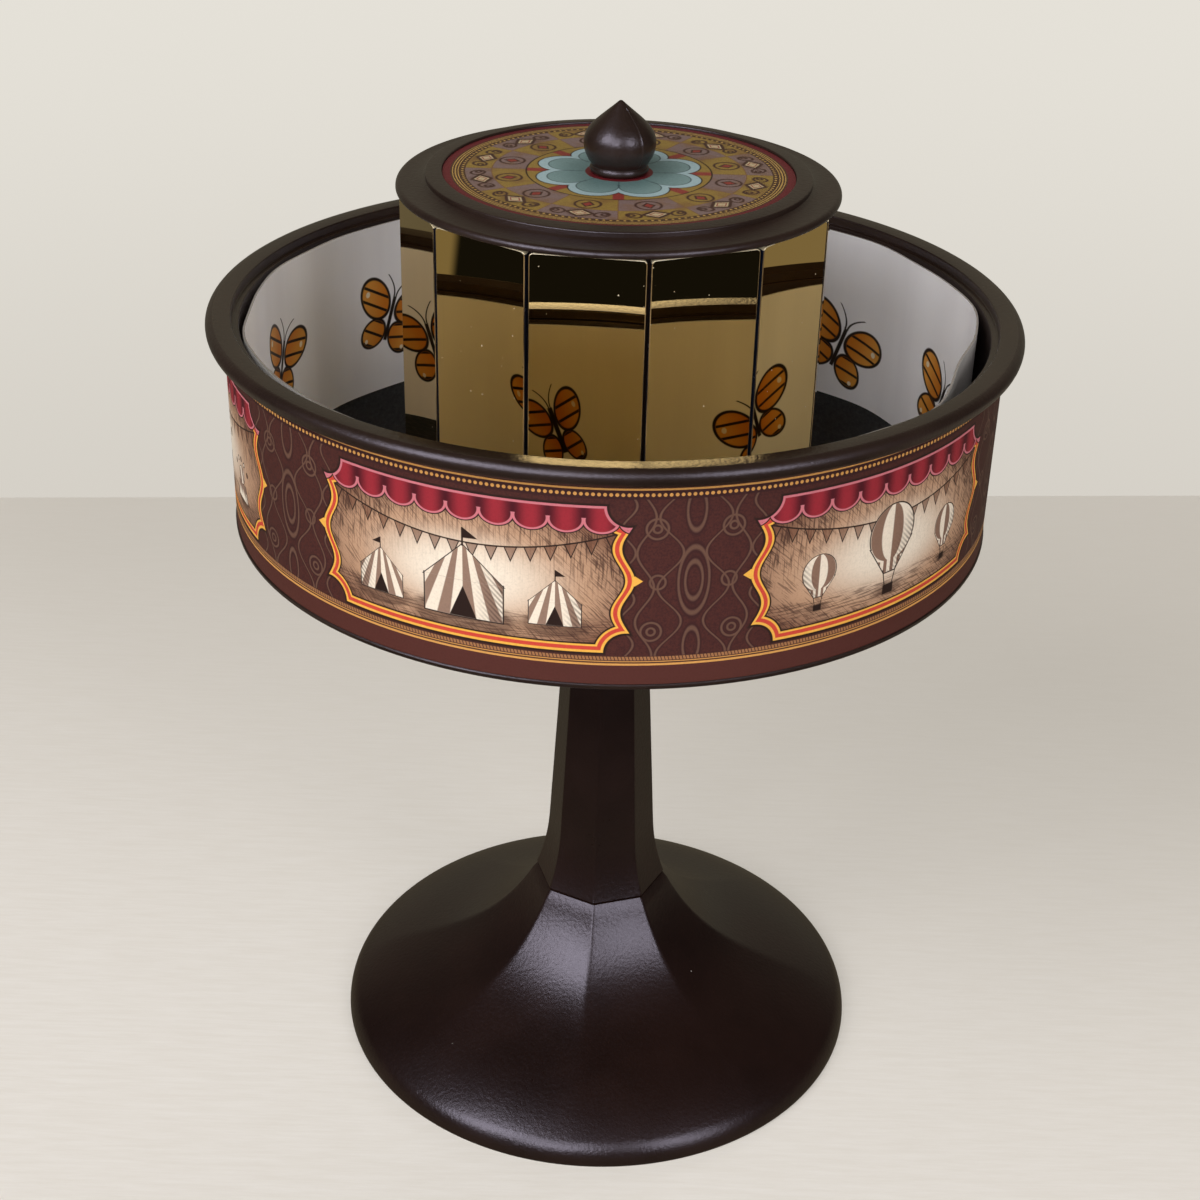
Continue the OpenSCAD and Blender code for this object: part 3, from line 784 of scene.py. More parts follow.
def balloon(finish, scene, x, y, hatch):
    """A striped balloon with its basket."""
    mid, r = 1.6, 6.2
    cone_tip, cone_slope, cone_top, neck = 9.6, 0.68, 1, 7.2
    gores, gore_reach, gore_least = 6.5, 40, 4.0
    rope_in, rope_low, rope_top, rope_slope, rope_half = 1, 10.5, 6.6, 0.22, 0.14
    basket_half = (1.5, 1.1)
    cone = (abs(x) - (y + cone_tip) * cone_slope) & (y + cone_top) & (-y - neck)
    bag = finish.disc(finish.point(x, y), 0, mid, r) | cone
    width = (gore_reach - (y - mid) * (y - mid)).math("MAXIMUM", gore_least) ** 0.5
    gore = (x / width * gores).sine()
    ropes = abs(abs(x) - rope_in - (y + rope_low) * rope_slope) & (y + rope_top) & (-y - rope_low)
    basket = box(x, y + GROUND_DROP, *basket_half)
    scene = shadow(finish, scene, x, y, half_w=4)
    scene = outlined(finish, scene, bag)
    scene = banded(finish, scene, bag, -gore, strength=0.9)
    scene = hatched(finish, scene, bag, hatch, side=(x - y * 0.4).rise(0.5, 7), strength=0.75)
    return finish.paint(scene, (ropes - rope_half) | basket, INK)


def juggling(finish, scene, x, y, hatch):
    """A drum-shaped stand with a ball on it, under an arch of five balls."""
    stand_w, stand_taper, taper_drop, stand_drop, stand_half_h = 5.2, 0.22, 8, 8.2, 3
    zigzag_fine, zigzag_h, zigzag_drop = 0.42, 5.6, 9.8
    ball_at, ball_r, stripe_wave, stripe_slant = -1.9, 3.2, 1.6, 0.5
    small_r, small_rim, small_pitch, arch_top, arch_drop = 1.05, 0.5, 3.6, 4, 0.8
    point = finish.point(x, y)
    stand = (abs(x) - stand_w + (y + taper_drop) * stand_taper) & (abs(y + stand_drop) - stand_half_h)
    ball = finish.disc(point, 0, ball_at, ball_r)
    both = stand | ball
    zigzag = abs((x * zigzag_fine) % 1 - 0.5) * zigzag_h - (y + zigzag_drop)
    stripe = (x * stripe_wave + y * stripe_slant).sine()
    scene = shadow(finish, scene, x, y, half_w=7.5)
    scene = outlined(finish, scene, both)
    scene = banded(finish, scene, stand, zigzag)
    scene = banded(finish, scene, ball, -stripe, soft=0.4)
    scene = hatched(finish, scene, both, hatch, side=x.rise(0.5, 5), strength=0.8)
    for i in range(-2, 3):
        small = finish.disc(point, small_pitch * i, arch_top - arch_drop * i * i, small_r)
        scene = finish.paint(scene, small, INK)
        scene = finish.paint(scene, small + small_rim, CREAM if i % 2 else SEPIA, soft=0.3)
    return scene


MOTIFS = (tent, balloon, juggling)


# The label's print

OCHRE = srgb(138, 112, 50)
LILAC = srgb(120, 99, 92)
BROWN = srgb(116, 82, 48)
BROWN_DARK = srgb(72, 48, 30)
LABEL_RED = srgb(132, 52, 42)
LABEL_MAROON = srgb(96, 28, 32)
LABEL_PALE = srgb(180, 162, 124)
LABEL_GOLD = srgb(178, 142, 74)
TEAL_DARK = srgb(58, 78, 78)
TEAL_MID = srgb(92, 118, 115)
TEAL = srgb(114, 140, 136)
TEAL_PALE = srgb(152, 175, 175)
CARMINE = srgb(96, 20, 26)

# Radii on the label, from its middle outwards, and its gold lines by radius and half width
SECTORS = 12
PETALS = 8
EYE_R = 7.3
ROSETTE_R = 20
KITE_ROW_R = 24.2
CHECK_R = 27.4
STAR_ROW_R = 30.1
BORDER_R = 33.1
LABEL_DOTS = 150
LABEL_DOT_ROW_R = 33.7
LABEL_DOT_R = 0.3
LABEL_LINES = ((34.6, 0.1), (35.2, 0.14), (35.8, 0.1))
OUTER_RING_R = 36.3
SEAM_LINE_HALF = 0.1


def printed_label():
    """The lid's print: chequered sectors round a teal rosette, inside gold lines and a maroon ring."""
    finish = Finish("printed_label", Specular_IOR_Level=0.35)
    x, y, _ = finish.split(finish.mm)
    r = (x * x + y * y) ** 0.5
    turn = y.math("ARCTAN2", x) / (2 * pi) + 0.5
    grain = finish.noise(size=0.5)
    sector = turn * SECTORS
    check = (sector.floor() + (r - CHECK_R).rise(-0.05, 0.05)) % 2
    art = finish.mix(check.rise(0.4, 0.6), OCHRE, LILAC)
    art = finish.mix(finish.noise(size=5, detail=3).rise(0.42, 0.7) * 0.6, art, BROWN)
    across = (sector % 1 - 0.5) * (r * 2 * pi / SECTORS)
    art = label_motifs(finish, art, across, r)
    seam = abs(sector % 1 - 0.5) * -1 + 0.5
    seam_lines = (seam * r * (2 * pi / SECTORS) - SEAM_LINE_HALF) | (abs(r - CHECK_R) - SEAM_LINE_HALF)
    art = finish.paint(art, seam_lines, BROWN, soft=0.2)
    art = rosette(finish, art, turn, r)
    art = finish.paint(art, BORDER_R - r, BROWN_DARK)
    dot_x = ((turn * LABEL_DOTS) % 1 - 0.5) * (LABEL_DOT_ROW_R * 2 * pi / LABEL_DOTS)
    dot = finish.disc(finish.point(dot_x, r), 0, LABEL_DOT_ROW_R, LABEL_DOT_R)
    art = finish.paint(art, dot, LABEL_GOLD)
    for line, half in LABEL_LINES:
        art = finish.paint(art, abs(r - line) - half, LABEL_GOLD)
    art = finish.paint(art, OUTER_RING_R - r, LABEL_MAROON)
    finish.feed(Base_Color=finish.mix(grain * 0.2, art, INK), Roughness=0.42 + grain * 0.2)
    finish.bump(grain, depth=0.01, strength=0.4)
    return finish


def label_motifs(finish, art, across, r):
    """A star between two scrolls in the outer row of each sector and a ringed kite in the inner row."""
    star_r, star_slope, star_rim, star_line, star_line_half = 2.6, 0.75, 0.9, 1.5, 0.16
    kite_r, kite_slope, kite_rim = 2, 1.3, 0.7
    ring_r, ring_half = 2.7, 0.28
    big_scroll, small_scroll, scroll_half = (4.7, 30.4, 1.5), (5.2, 30.2, 0.6), 0.3
    point = finish.point(abs(across), r)
    star = abs(across) * star_slope + abs(r - STAR_ROW_R) - star_r
    scroll = abs(finish.disc(point, *big_scroll)) | abs(finish.disc(point, *small_scroll))
    kite = abs(across) * kite_slope + abs(r - KITE_ROW_R) - kite_r
    ring = abs(finish.disc(point, 0, KITE_ROW_R, ring_r))
    art = finish.mix(finish.disc(point, 0, STAR_ROW_R, star_r).inside(1.6) * 0.5, art, UMBER)
    art = finish.paint(art, star | kite | (scroll - scroll_half) | (ring - ring_half), UMBER, soft=0.3)
    art = finish.paint(art, star + star_rim, LABEL_PALE, soft=0.3)
    art = finish.paint(art, abs(star + star_line) - star_line_half, LABEL_RED, soft=0.2)
    return finish.paint(art, kite + kite_rim, LABEL_RED, soft=0.3)


def rosette(finish, art, turn, r):
    """Eight round teal petals with pale rims, in a ring of red and ochre wedges."""
    outer_at, outer_r, outer_root, outer_line = 12.8, 5.7, 11, 0.3
    inner_at, inner_r, inner_root, inner_line = 11.8, 4.6, 10, 0.25
    wedge_half, rim_half, stem_half, stem_r = 1.2, 0.16, 0.12, 11.6
    angle = (turn * PETALS % 1 - 0.5) * (2 * pi / PETALS)
    point = finish.point(r * angle.sine(), r * angle.cosine())
    wedge = abs(abs(angle) - pi / PETALS) * r
    outer = finish.disc(point, 0, outer_at, outer_r) | (r - outer_root)
    inner = finish.disc(point, 0, inner_at, inner_r) | (r - inner_root)
    stem = (wedge - stem_half) & (r - stem_r)
    art = finish.paint(art, r - ROSETTE_R, finish.mix((wedge - wedge_half).inside(0.2), OCHRE, LABEL_RED))
    art = finish.paint(art, abs(r - ROSETTE_R) - rim_half, INK, soft=0.2)
    art = finish.paint(art, outer - outer_line, INK, soft=0.25)
    art = finish.paint(art, outer, TEAL_PALE, soft=0.25)
    art = finish.paint(art, inner, TEAL_DARK, soft=0.25)
    art = finish.paint(art, inner + inner_line, finish.mix(r.rise(8, 16), TEAL_MID, TEAL), soft=0.25)
    art = finish.paint(art, stem, TEAL_DARK, soft=0.2)
    return finish.paint(art, r - EYE_R, CARMINE)


# The strip's print

PICTURE_PITCH = 2 * pi * STRIP_R / PICTURES
PICTURE_SCALE = 1.25
PICTURE_MID = 0.4
PICTURE_BOB = 3.5
PICTURE_TILT = (0.94, 0.34)
CARD_PAINTED_SHADE = srgb(238, 238, 241)
CARD_WHITE = srgb(252, 253, 255)
WING = srgb(206, 122, 34)
WING_PALE = srgb(226, 160, 70)
WING_DARK = srgb(30, 20, 16)
WING_SPOT = srgb(236, 226, 200)

# The card's fine streaks and its wide folds, by number round the loop and share of the height.
# The folds are painted shade in its colour, and the streaks a painted sheen in its colour, which also set its
# roughness and bump.
STREAKS_AND_SHEEN = (900, 0.6)
FOLD_SHADE = (44, 0.4)

# The butterfly: each wing's narrowing, lean, place and radius, and the spots by place and radius
WING_SHUT = 0.45
WING_OPEN = 0.55
BEAT_START = 0.4
FORE_WING = (0.8, -0.25, 4.6, 1.4, 4.1)
HIND_WING = (0.9, 0.2, 3.6, -3.4, 3.3)
FORE_RIM = 0.6
HIND_RIM = 0.55
FORE_SPOT = (8.4, 3.4, 0.6)
HIND_SPOT = (5.6, -6.1, 0.45)
BODY_DROP = 0.6
BODY_HALF = (0.45, 4.6)
FEELER_ROOT = (0.3, 4)
FEELER_CURVE = 0.18
FEELER_HALF = 0.22
FEELER_MID = 6
FEELER_HALF_H = 2.2


def picture_card():
    """Satin white card with twelve phases of a butterfly that beats its wings once and bobs once."""
    finish = Finish("picture_card", Specular_IOR_Level=0.6)
    u, v = finish.wrap()
    along = u * PICTURES
    cell = along.floor()
    phase = cell * (2 * pi / PICTURES)
    x = (along - cell - 0.5) * (PICTURE_PITCH / PICTURE_SCALE)
    y = ((v - PICTURE_MID) * STRIP_H - phase.sine() * PICTURE_BOB) / PICTURE_SCALE
    lean, slant = PICTURE_TILT
    streaks, streak_h = STREAKS_AND_SHEEN
    folds, fold_h = FOLD_SHADE
    streak = finish.noise(1, detail=4, vector=finish.point(u * streaks, v * streak_h), rough=0.6)
    fold = finish.noise(1, detail=2, vector=finish.point(u * folds, v * fold_h))
    # Painted shade of the folds and painted sheen of the streaks, in the card's colour.
    art = finish.mix(fold.rise(0.25, 0.75) * 0.7 + streak * 0.3, CARD_PAINTED_SHADE, CARD_WHITE)
    art = butterfly(finish, art, x * lean + y * slant, y * lean - x * slant, phase)
    finish.feed(Base_Color=art, Roughness=0.26 + streak * 0.14)
    finish.bump(streak, depth=0.01, strength=0.4)
    return finish


def butterfly(finish, art, x, y, phase):
    """An orange butterfly with dark edges and veins, its wings as far open as the phase says."""
    wing_x = abs(x) / (WING_SHUT + WING_OPEN * abs((phase * 0.5 + BEAT_START).cosine()))
    point = finish.point(wing_x, y)
    fore, hind = (finish.disc(finish.point(wing_x * narrow, y + wing_x * lean), *place)
                  for narrow, lean, *place in (FORE_WING, HIND_WING))
    inner = (fore + FORE_RIM) | (hind + HIND_RIM)
    hue = finish.mix((wing_x - y * 0.2).rise(1, 9), WING, WING_PALE)
    vein = ((y * 0.9 - wing_x * 0.12) * 2.6).sine()
    spot = finish.disc(point, *FORE_SPOT) | finish.disc(point, *HIND_SPOT)
    body = box(x, y + BODY_DROP, *BODY_HALF)
    root_x, root_y = FEELER_ROOT
    feeler = abs(wing_x - root_x - (y - root_y) * (y - root_y) * FEELER_CURVE) - FEELER_HALF
    feeler = feeler & (abs(y - FEELER_MID) - FEELER_HALF_H)
    art = finish.paint(art, fore | hind, WING_DARK, soft=0.2)
    art = finish.paint(art, inner, hue, soft=0.2)
    art = finish.mix(inner.inside(0.2) * vein.rise(0.72, 0.86), art, WING_DARK)
    art = finish.paint(art, spot, WING_SPOT, soft=0.2)
    return finish.paint(art, body | feeler, WING_DARK, soft=0.2)


def card_edge():
    """The cut edge of the card, with its fibres."""
    finish = Finish("card_edge", Specular_IOR_Level=0.2)
    fibre = finish.noise(size=0.3)
    finish.feed(Base_Color=finish.mix(fibre, srgb(112, 106, 98), srgb(150, 144, 134)),
                Roughness=0.7 + fibre * 0.2)
    return finish


def card_back():
    """The bare, duller back of the card."""
    finish = Finish("card_back", Specular_IOR_Level=0.3)
    fibre = finish.noise(size=0.35, detail=4, stretch=(1, 1, 0.5), rough=0.6)
    finish.feed(Base_Color=finish.mix(fibre.rise(0.3, 0.7), srgb(207, 203, 195), srgb(217, 214, 206)),
                Roughness=0.6 + fibre * 0.15)
    finish.bump(fibre, depth=0.02, strength=0.4)
    return finish


STAND_BROWN = (srgb(23, 11, 6), srgb(29, 15, 9))
DRUM_BROWN = (srgb(33, 22, 15), srgb(40, 28, 20))
stand_plastic = moulded_plastic("stand_plastic", *STAND_BROWN, gloss=0.31)
drum_plastic = moulded_plastic("drum_plastic", *DRUM_BROWN, gloss=0.34)
worn_plastic = moulded_plastic("worn_plastic", *DRUM_BROWN, gloss=0.2)
steel = metal("plated_steel", (0.62, 0.62, 0.63, 1), rough=0.28)
bronze = metal("sintered_bronze", (0.60, 0.42, 0.22, 1), rough=0.4)
nylon = natural_nylon()


# The stand

def make_foot():
    """Eight flat sides at the seam turn into a round edge on one swept curve.
    The inside follows it at one wall thickness."""
    edge_mid = (FOOT_R - FOOT_EDGE_R, FOOT_EDGE_H)
    out, up = sin(FLARE_SLOPE), cos(FLARE_SLOPE)
    flare_end = (edge_mid[0] + FOOT_EDGE_R * out, edge_mid[1] + FOOT_EDGE_R * up)
    handles = ((SEAM_R, SEAM_Z), (SEAM_R + FLARE_OUT, flare_end[1] + FLARE_RISE),
               (flare_end[0] - FLARE_REACH * up, flare_end[1] + FLARE_REACH * out), flare_end)
    shares = [(1 - i / FLARE_STEPS) ** FACET_FADE for i in range(FLARE_STEPS + 1)]
    outside = [(r, z, share) for (r, z), share in zip(curve(handles, FLARE_STEPS), shares)]
    arc_end = 90 - degrees(FLARE_SLOPE)
    inner_edge = FOOT_EDGE_R - FOOT_WALL
    socket_r = SPIGOT_R + SPIGOT_GAP
    rings = [(SCREW_HOLE_R, SOCKET_Z, 0), (socket_r, SOCKET_Z, 0), (socket_r, SEAM_Z, 0)]
    rings += [(SEAM_R - 2 * SEAM_ROUND, SEAM_Z, 1), (SEAM_R - SEAM_ROUND, SEAM_Z - SEAM_OPEN, 1)]
    rings += outside[1:]
    rings += [(r, z, 0) for r, z in arc(edge_mid, FOOT_EDGE_R, arc_end, 0, steps=16)[1:]]
    rings += [(FOOT_R - FOOT_EDGE_H / 2, 0, 0), (edge_mid[0] + inner_edge, 0, 0)]
    rings += [(r, z, 0) for r, z in arc(edge_mid, inner_edge, 0, arc_end, steps=8)]
    web_z = SOCKET_Z - FOOT_WEB_T
    for (r, z, share), (next_r, next_z, _) in zip(outside[:0:-1], outside[-2::-1]):
        run = hypot(next_r - r, next_z - z)
        flat_r = r * (1 - share + share * cos(pi / FACETS))
        inner = (flat_r - FOOT_WALL * (next_z - z) / run, z + FOOT_WALL * (next_r - r) / run)
        if rings[-1][1] < inner[1] < web_z and inner[0] < rings[-1][0]:
            rings.append((*inner, 0))
    rings += [(rings[-1][0], web_z, 0), (SCREW_HOLE_R, web_z, 0)]
    return lofted(rings)


def make_column():
    """An eight-sided taper that spreads to meet the foot, with the spigot below it."""
    def corner_r(h):
        spread = max(0, 1 - h / COLUMN_FLARE_H) ** COLUMN_FLARE_CURVE
        taper = (COLUMN_TOP_R - COLUMN_ROOT_R) * h / (COLUMN_TOP - SEAM_Z)
        return COLUMN_ROOT_R + taper + (SEAM_R - COLUMN_ROOT_R) * spread
    heights = [COLUMN_FLARE_H * i / COLUMN_FLARE_STEPS for i in range(1, COLUMN_FLARE_STEPS + 1)]
    low = SEAM_Z + SEAM_OPEN
    rings = [(SPINDLE_R, SOCKET_Z, 0), (SPIGOT_R, SOCKET_Z, 0), (SPIGOT_R, low, 0)]
    rings += [(SEAM_R - 3 * SEAM_ROUND, low, 1), (SEAM_R - 2 * SEAM_ROUND, SEAM_Z + SEAM_ROUND, 1)]
    rings += [(corner_r(h), SEAM_Z + h, 1) for h in [2 * SEAM_ROUND] + heights]
    rings += [(COLUMN_TOP_R, COLUMN_TOP - SEAM_ROUND, 1), (COLUMN_TOP_R - SEAM_ROUND, COLUMN_TOP, 1)]
    return lofted(rings + [(SPINDLE_R, COLUMN_TOP, 0)])


piece("foot_flare", make_foot(), [stand_plastic], "stand", "stand_plastic", "foot")
piece("column_taper", make_column(), [stand_plastic], "stand", "stand_plastic", "column")


# The drum

def make_shell():
    """The bowl's floor and wall, with the hub below and a lip round the bottom."""
    floor_top, lip_top = FLOOR_Z + FLOOR_T, FLOOR_Z + LIP_T
    flange_top = SHELL_LOW.z + BUSH_FLANGE_T
    return turned(
        [(BUSH_FLANGE_R, SHELL_LOW.z)]
        + arc((HUB_R - HUB_ROUND, SHELL_LOW.z + HUB_ROUND), HUB_ROUND, -90, 0)
        + arc((HUB_R + HUB_FILLET, FLOOR_Z - HUB_FILLET), HUB_FILLET, 180, 90)
        + arc((LIP_R - LIP_ROUND, FLOOR_Z + LIP_ROUND), LIP_ROUND, -90, 0)
        + [(LIP_R, lip_top - LIP_BEVEL), (LIP_R - LIP_BEVEL, lip_top), (WALL_R, lip_top)]
        + [(WALL_R, WALL_TOP), (WALL_IN, WALL_TOP), (WALL_IN, floor_top), (BUSH_R, floor_top)]
        + [(BUSH_R, flange_top), (BUSH_FLANGE_R, flange_top)])


def make_rim():
    """A bead with a flat inside it, rubbed smooth by hands, and a ledge."""
    bead = (RIM_HIGH.x - BEAD_R, RIM_HIGH.z - BEAD_R)
    inner_top = RIM_HIGH.z - RIM_DROP
    ledge_z = inner_top - LEDGE_H
    bm = turned(
        [(WALL_IN, WALL_TOP), (RIM_FOOT_R, WALL_TOP)]
        + arc((RIM_FOOT_R + RIM_FILLET, bead[1] - BEAD_R - RIM_FILLET), RIM_FILLET, 180, 90, steps=3)
        + arc(bead, BEAD_R, -90, 90, steps=20)
        + arc((LEDGE_R + RIM_EDGE_R, inner_top - RIM_EDGE_R), RIM_EDGE_R, 90, 180, steps=5)
        + arc((LEDGE_R - RIM_FILLET, ledge_z + RIM_FILLET), RIM_FILLET, 0, -90, steps=3)
        + arc((WALL_IN + RIM_FILLET, ledge_z - RIM_FILLET), RIM_FILLET, 90, 180, steps=3))
    for face in bm.faces:
        face.material_index = int(face.normal.z > 0.98)
    return bm


def make_band():
    """A thin sleeve of paper round the wall."""
    low, high = BAND_LOW.z, BAND_HIGH.z
    return wrapped(flat_ring(BAND_HIGH.x - BAND_T, BAND_HIGH.x, low, high), low, high)


def make_disc():
    """A flat ring of sheet round the mirrors."""
    inner = MIRROR_R + DISC_CLEAR
    return turned([(inner, DISC_LOW.z), (DISC_HIGH.x, DISC_LOW.z), (DISC_HIGH.x, DISC_HIGH.z - DISC_BEVEL),
                   (DISC_HIGH.x - DISC_BEVEL, DISC_HIGH.z), (inner, DISC_HIGH.z)])


piece("drum_bowl", make_shell(), [drum_plastic], "drum", "drum_plastic", "drum_shell")
piece("rim_bead", make_rim(), [drum_plastic, worn_plastic], "drum", "drum_plastic", "rim_ring")
piece("paper_band", make_band(), [printed_band()], "drum", "printed_band", "outer_band")
piece("floor_sheet", make_disc(), [black_sheet()], "drum", "floor_black", "floor_disc")


# The mirrors

def make_mirror(number):
    """A plate with mitred sides, rounded top corners and a bevelled face.
    Its top, its sides and the slopes beside its face have finishes of their own."""
    half = pi / MIRROR_N
    back = MIRROR_FLAT - MIRROR_T
    top_z, front_x = (MIRROR_HIGH.z - MIRROR_T / 2) * MM, (back + MIRROR_T / 2) * MM
    lean = 0.2
    bm = bmesh.new()
    bmesh.ops.create_cube(bm, size=1)
    for vert in bm.verts:
        out = MIRROR_FLAT if vert.co.x > 0 else back
        width = 2 * (out * tan(half) - MIRROR_GAP / 2)
        height = MIRROR_HIGH.z if vert.co.z > 0 else MIRROR_LOW.z
        vert.co = Vector((out, vert.co.y * width, height)) * MM
    corners = [edge for edge in bm.edges if all(vert.co.z > top_z for vert in edge.verts)
               and abs(edge.verts[0].co.x - edge.verts[1].co.x) > MM]
    bmesh.ops.bevel(bm, geom=corners, offset=MIRROR_CORNER * MM, affect="EDGES", segments=5, profile=0.5,
                    material=-1)
    front = [edge for edge in bm.edges if all(vert.co.x > front_x for vert in edge.verts)]
    bmesh.ops.bevel(bm, geom=front, offset=MIRROR_BEVEL * MM, affect="EDGES", segments=2, profile=0.5,
                    material=-1)
    bmesh.ops.recalc_face_normals(bm, faces=bm.faces)
    for face in bm.faces:
        out, along, up = face.normal
        face.material_index = 1 if up > lean else 2 if out < lean else 3 if abs(along) > lean else 0
    turn = MIRROR_TURN + 2 * half * (number - 1) - pi / 2 + half
    bmesh.ops.rotate(bm, verts=bm.verts, cent=(0, 0, 0), matrix=Matrix.Rotation(turn, 3, "Z"))
    return bm


# Painted light on the mirrors: the top is painted pale, as if lit from above, the sides are painted dark, as
# shade in the gaps, and the slopes beside the face carry a painted highlight.
mirror_finishes = [gold_mirror(), painted_light_edge("mirror_top_painted_lit", srgb(240, 230, 200), srgb(222, 204, 160)),
                   painted_light_edge("mirror_side_painted_shade", srgb(16, 20, 30), srgb(30, 36, 50)), mirror_arris_painted_highlight()]
for number in range(1, MIRROR_N + 1):
    piece(f"mirror_{number:02d}", make_mirror(number), mirror_finishes, "drum", "gold_mirror",
          f"mirror_panel_{number:02d}", crease=MIRROR_CREASE)


# The lid and its knob

def make_lid():
    """A stepped disc: a round edge, a hollow curve with a fine step, a raised ring and the label's recess."""
    top = LID_HIGH.z
    edge_top = CORE_TOP + LID_EDGE_H
    cove_r = LID_R - LID_EDGE_R
    shares = [i / COVE_STEPS for i in range(1, COVE_STEPS + 1)]
    cove = [(cove_r + (RING_R - cove_r) * u, edge_top + COVE_RISE * u ** COVE_CURVE) for u in shares]
    step = [(r, z + COVE_STEP) for r, z in cove[-2:]]
    web_z = LABEL_LOW.z - LID_WEB_T
    plug_in = PLUG_R - PLUG_WALL
    return turned(
        [(LID_BORE, web_z), (plug_in, web_z), (plug_in, LID_LOW.z), (PLUG_R, LID_LOW.z), (PLUG_R, CORE_TOP)]
        + arc((LID_R - LID_UNDER_R, CORE_TOP + LID_UNDER_R), LID_UNDER_R, -90, 0, steps=3)
        + arc((cove_r, edge_top - LID_EDGE_R), LID_EDGE_R, 0, 90, steps=10)
        + cove[:-2] + step
        + arc((RING_R - RING_ROUND, top - RING_RISE - RING_ROUND), RING_ROUND, 0, 90)
        + arc((RECESS_R + RING_ROUND, top - RING_ROUND), RING_ROUND, 90, 180)
        + [(RECESS_R, LABEL_LOW.z), (LID_BORE, LABEL_LOW.z)])


def make_knob():
    """A round collar, a belly that swells from the crease above it and an ogee top.
    A fine mould line runs down one side."""
    low, high = KNOB_LOW.z, KNOB_HIGH.z
    collar = COLLAR_H / 2
    crease = degrees(acos(1 - (KNOB_FOOT_R - KNOB_NECK_R) / collar))
    neck, wide = low + NECK_H, low + KNOB_WIDE_H
    belly = ((KNOB_NECK_R, neck), (KNOB_NECK_R + BELLY_OUT, neck + BELLY_RISE), (KNOB_R, wide - BELLY_DROP),
             (KNOB_R, wide))
    ogee = ((KNOB_R, wide), (KNOB_R, wide + OGEE_RISE), (TIP_R + OGEE_OUT, high - OGEE_DROP),
            (TIP_R, high - TIP_H))
    outline = [(0, low)] + arc((KNOB_FOOT_R - collar, low + collar), collar, -90, crease, steps=12)
    outline += curve(belly, steps=20) + curve(ogee, steps=28, first=1)
    bm = turned(outline + [(TIP_FLAT_R, high), (0, high)], closed=False)
    for vert in bm.verts:
        r = hypot(vert.co.x, vert.co.y)
        off = (atan2(vert.co.y, vert.co.x) - RIDGE_TURN + pi) % (2 * pi) - pi
        if r > RIDGE_TOP_R * MM and abs(off) < RIDGE_HALF and vert.co.z > neck * MM:
            vert.co.xy *= 1 + RIDGE_H * MM / r
    return bm


piece("lid_moulding", make_lid(), [drum_plastic], "drum", "drum_plastic", "lid")
label_disc = flat_ring(LID_BORE, LABEL_HIGH.x, LABEL_LOW.z, LABEL_HIGH.z)
piece("label_disc", label_disc, [printed_label()], "drum", "printed_label", "lid_label")
piece("finial", make_knob(), [drum_plastic], "drum", "drum_plastic", "knob", crease=KNOB_CREASE)


# The picture strip

def make_strip():
    """A closed loop of card along the wall, faintly wavy, with a slack stretch that bends in.
    The pictures are on its inner face."""
    bm = flat_ring(STRIP_R - STRIP_T, STRIP_R, STRIP_LOW.z, STRIP_HIGH.z)
    for vert in bm.verts:
        off = (atan2(vert.co.y, vert.co.x) - SLACK_AT + pi) % (2 * pi) - pi
        inward = sum(depth * (1 + cos(count * off + phase)) for count, depth, phase in WAVES)
        if abs(off) < SLACK_HALF:
            inward += SLACK_DEPTH * cos(pi / 2 * off / SLACK_HALF) ** 2
        vert.co.xy *= 1 - inward * MM / hypot(vert.co.x, vert.co.y)
    for face in bm.faces:
        outward = face.normal.dot(face.calc_center_median())
        face.material_index = 1 if abs(face.normal.z) > 0.5 else 2 if outward > 0 else 0
    return wrapped(bm, STRIP_LOW.z, STRIP_HIGH.z)


piece("picture_loop", make_strip(), [picture_card(), card_edge(), card_back()], "strip", "picture_card",
      "picture_strip")


# Inner pieces keep their CAD shape
inner_finishes = {"column_screw": steel, "column_screw_washer": steel, "spindle": steel,
                  "spindle_clip": steel, "core_screws": steel, "knob_screw": steel, "lower_bush": bronze,
                  "upper_bush": bronze, "thrust_washer": nylon, "mirror_core": drum_plastic}
for node, finish in inner_finishes.items():
    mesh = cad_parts[node].data
    mesh.materials.clear()
    mesh.materials.append(finish.material)


# The studio: a pale table that ends behind the object, a pale wall, and a dim room in front of the table.
# The table's sizes are in metres, and the places in its finish in millimetres.
FLOOR_FAR = 3
FLOOR_BACK = 0.305
FLOOR_BACK_TURN = radians(3.8)
FLOOR_DROP = 0.0002
FLOOR_GLOW = 0.5
PLANK_DARK = srgb(224, 218, 207)
PLANK_LIGHT = srgb(231, 226, 217)
# Painted shade: the planks darken towards the back and the right, along this slope, between these distances
# in millimetres and to this depth.
PLANK_PAINTED_SHADE = srgb(202, 196, 184)
SHADE_SLOPE = (0.4, 1.3)
SHADE_FROM, SHADE_TO = -150, 350
SHADE_DEPTH = 0.8
TABLE_FRONT = 120
TABLE_FRONT_SOFT = 30
TABLE_FADE_FROM, TABLE_FADE_TO = 240, 400
FRONT_FROM, FRONT_TO = 0.2215, 0.2305
# What the gloss sees of the table is a painted glow, not its lit planks: dimmer near the object, brighter far
# off, and nearly black in the front part.
TABLE_GLOSS_GLOW_NEAR = (0.16, 0.135, 0.09, 1)
TABLE_GLOSS_GLOW_FAR = (0.28, 0.245, 0.175, 1)
ROOM_GLOSS = (0.01, 0.01, 0.01, 1)
BLACK = (0, 0, 0, 1)
WALL_LOW = srgb(212, 207, 198)
WALL_HIGH = srgb(229, 225, 216)
WALL_FROM, WALL_TO = -0.47, -0.18
BEHIND_FROM, BEHIND_TO = 0.5, 0.9
WALL_END_FROM, WALL_END_TO = 0.5, 0.8
WALL_GLOSS = (0.235, 0.215, 0.155, 1)
DIM = (0.02, 0.02, 0.02, 1)
AMBIENT = (0.21, 0.197, 0.186, 1)


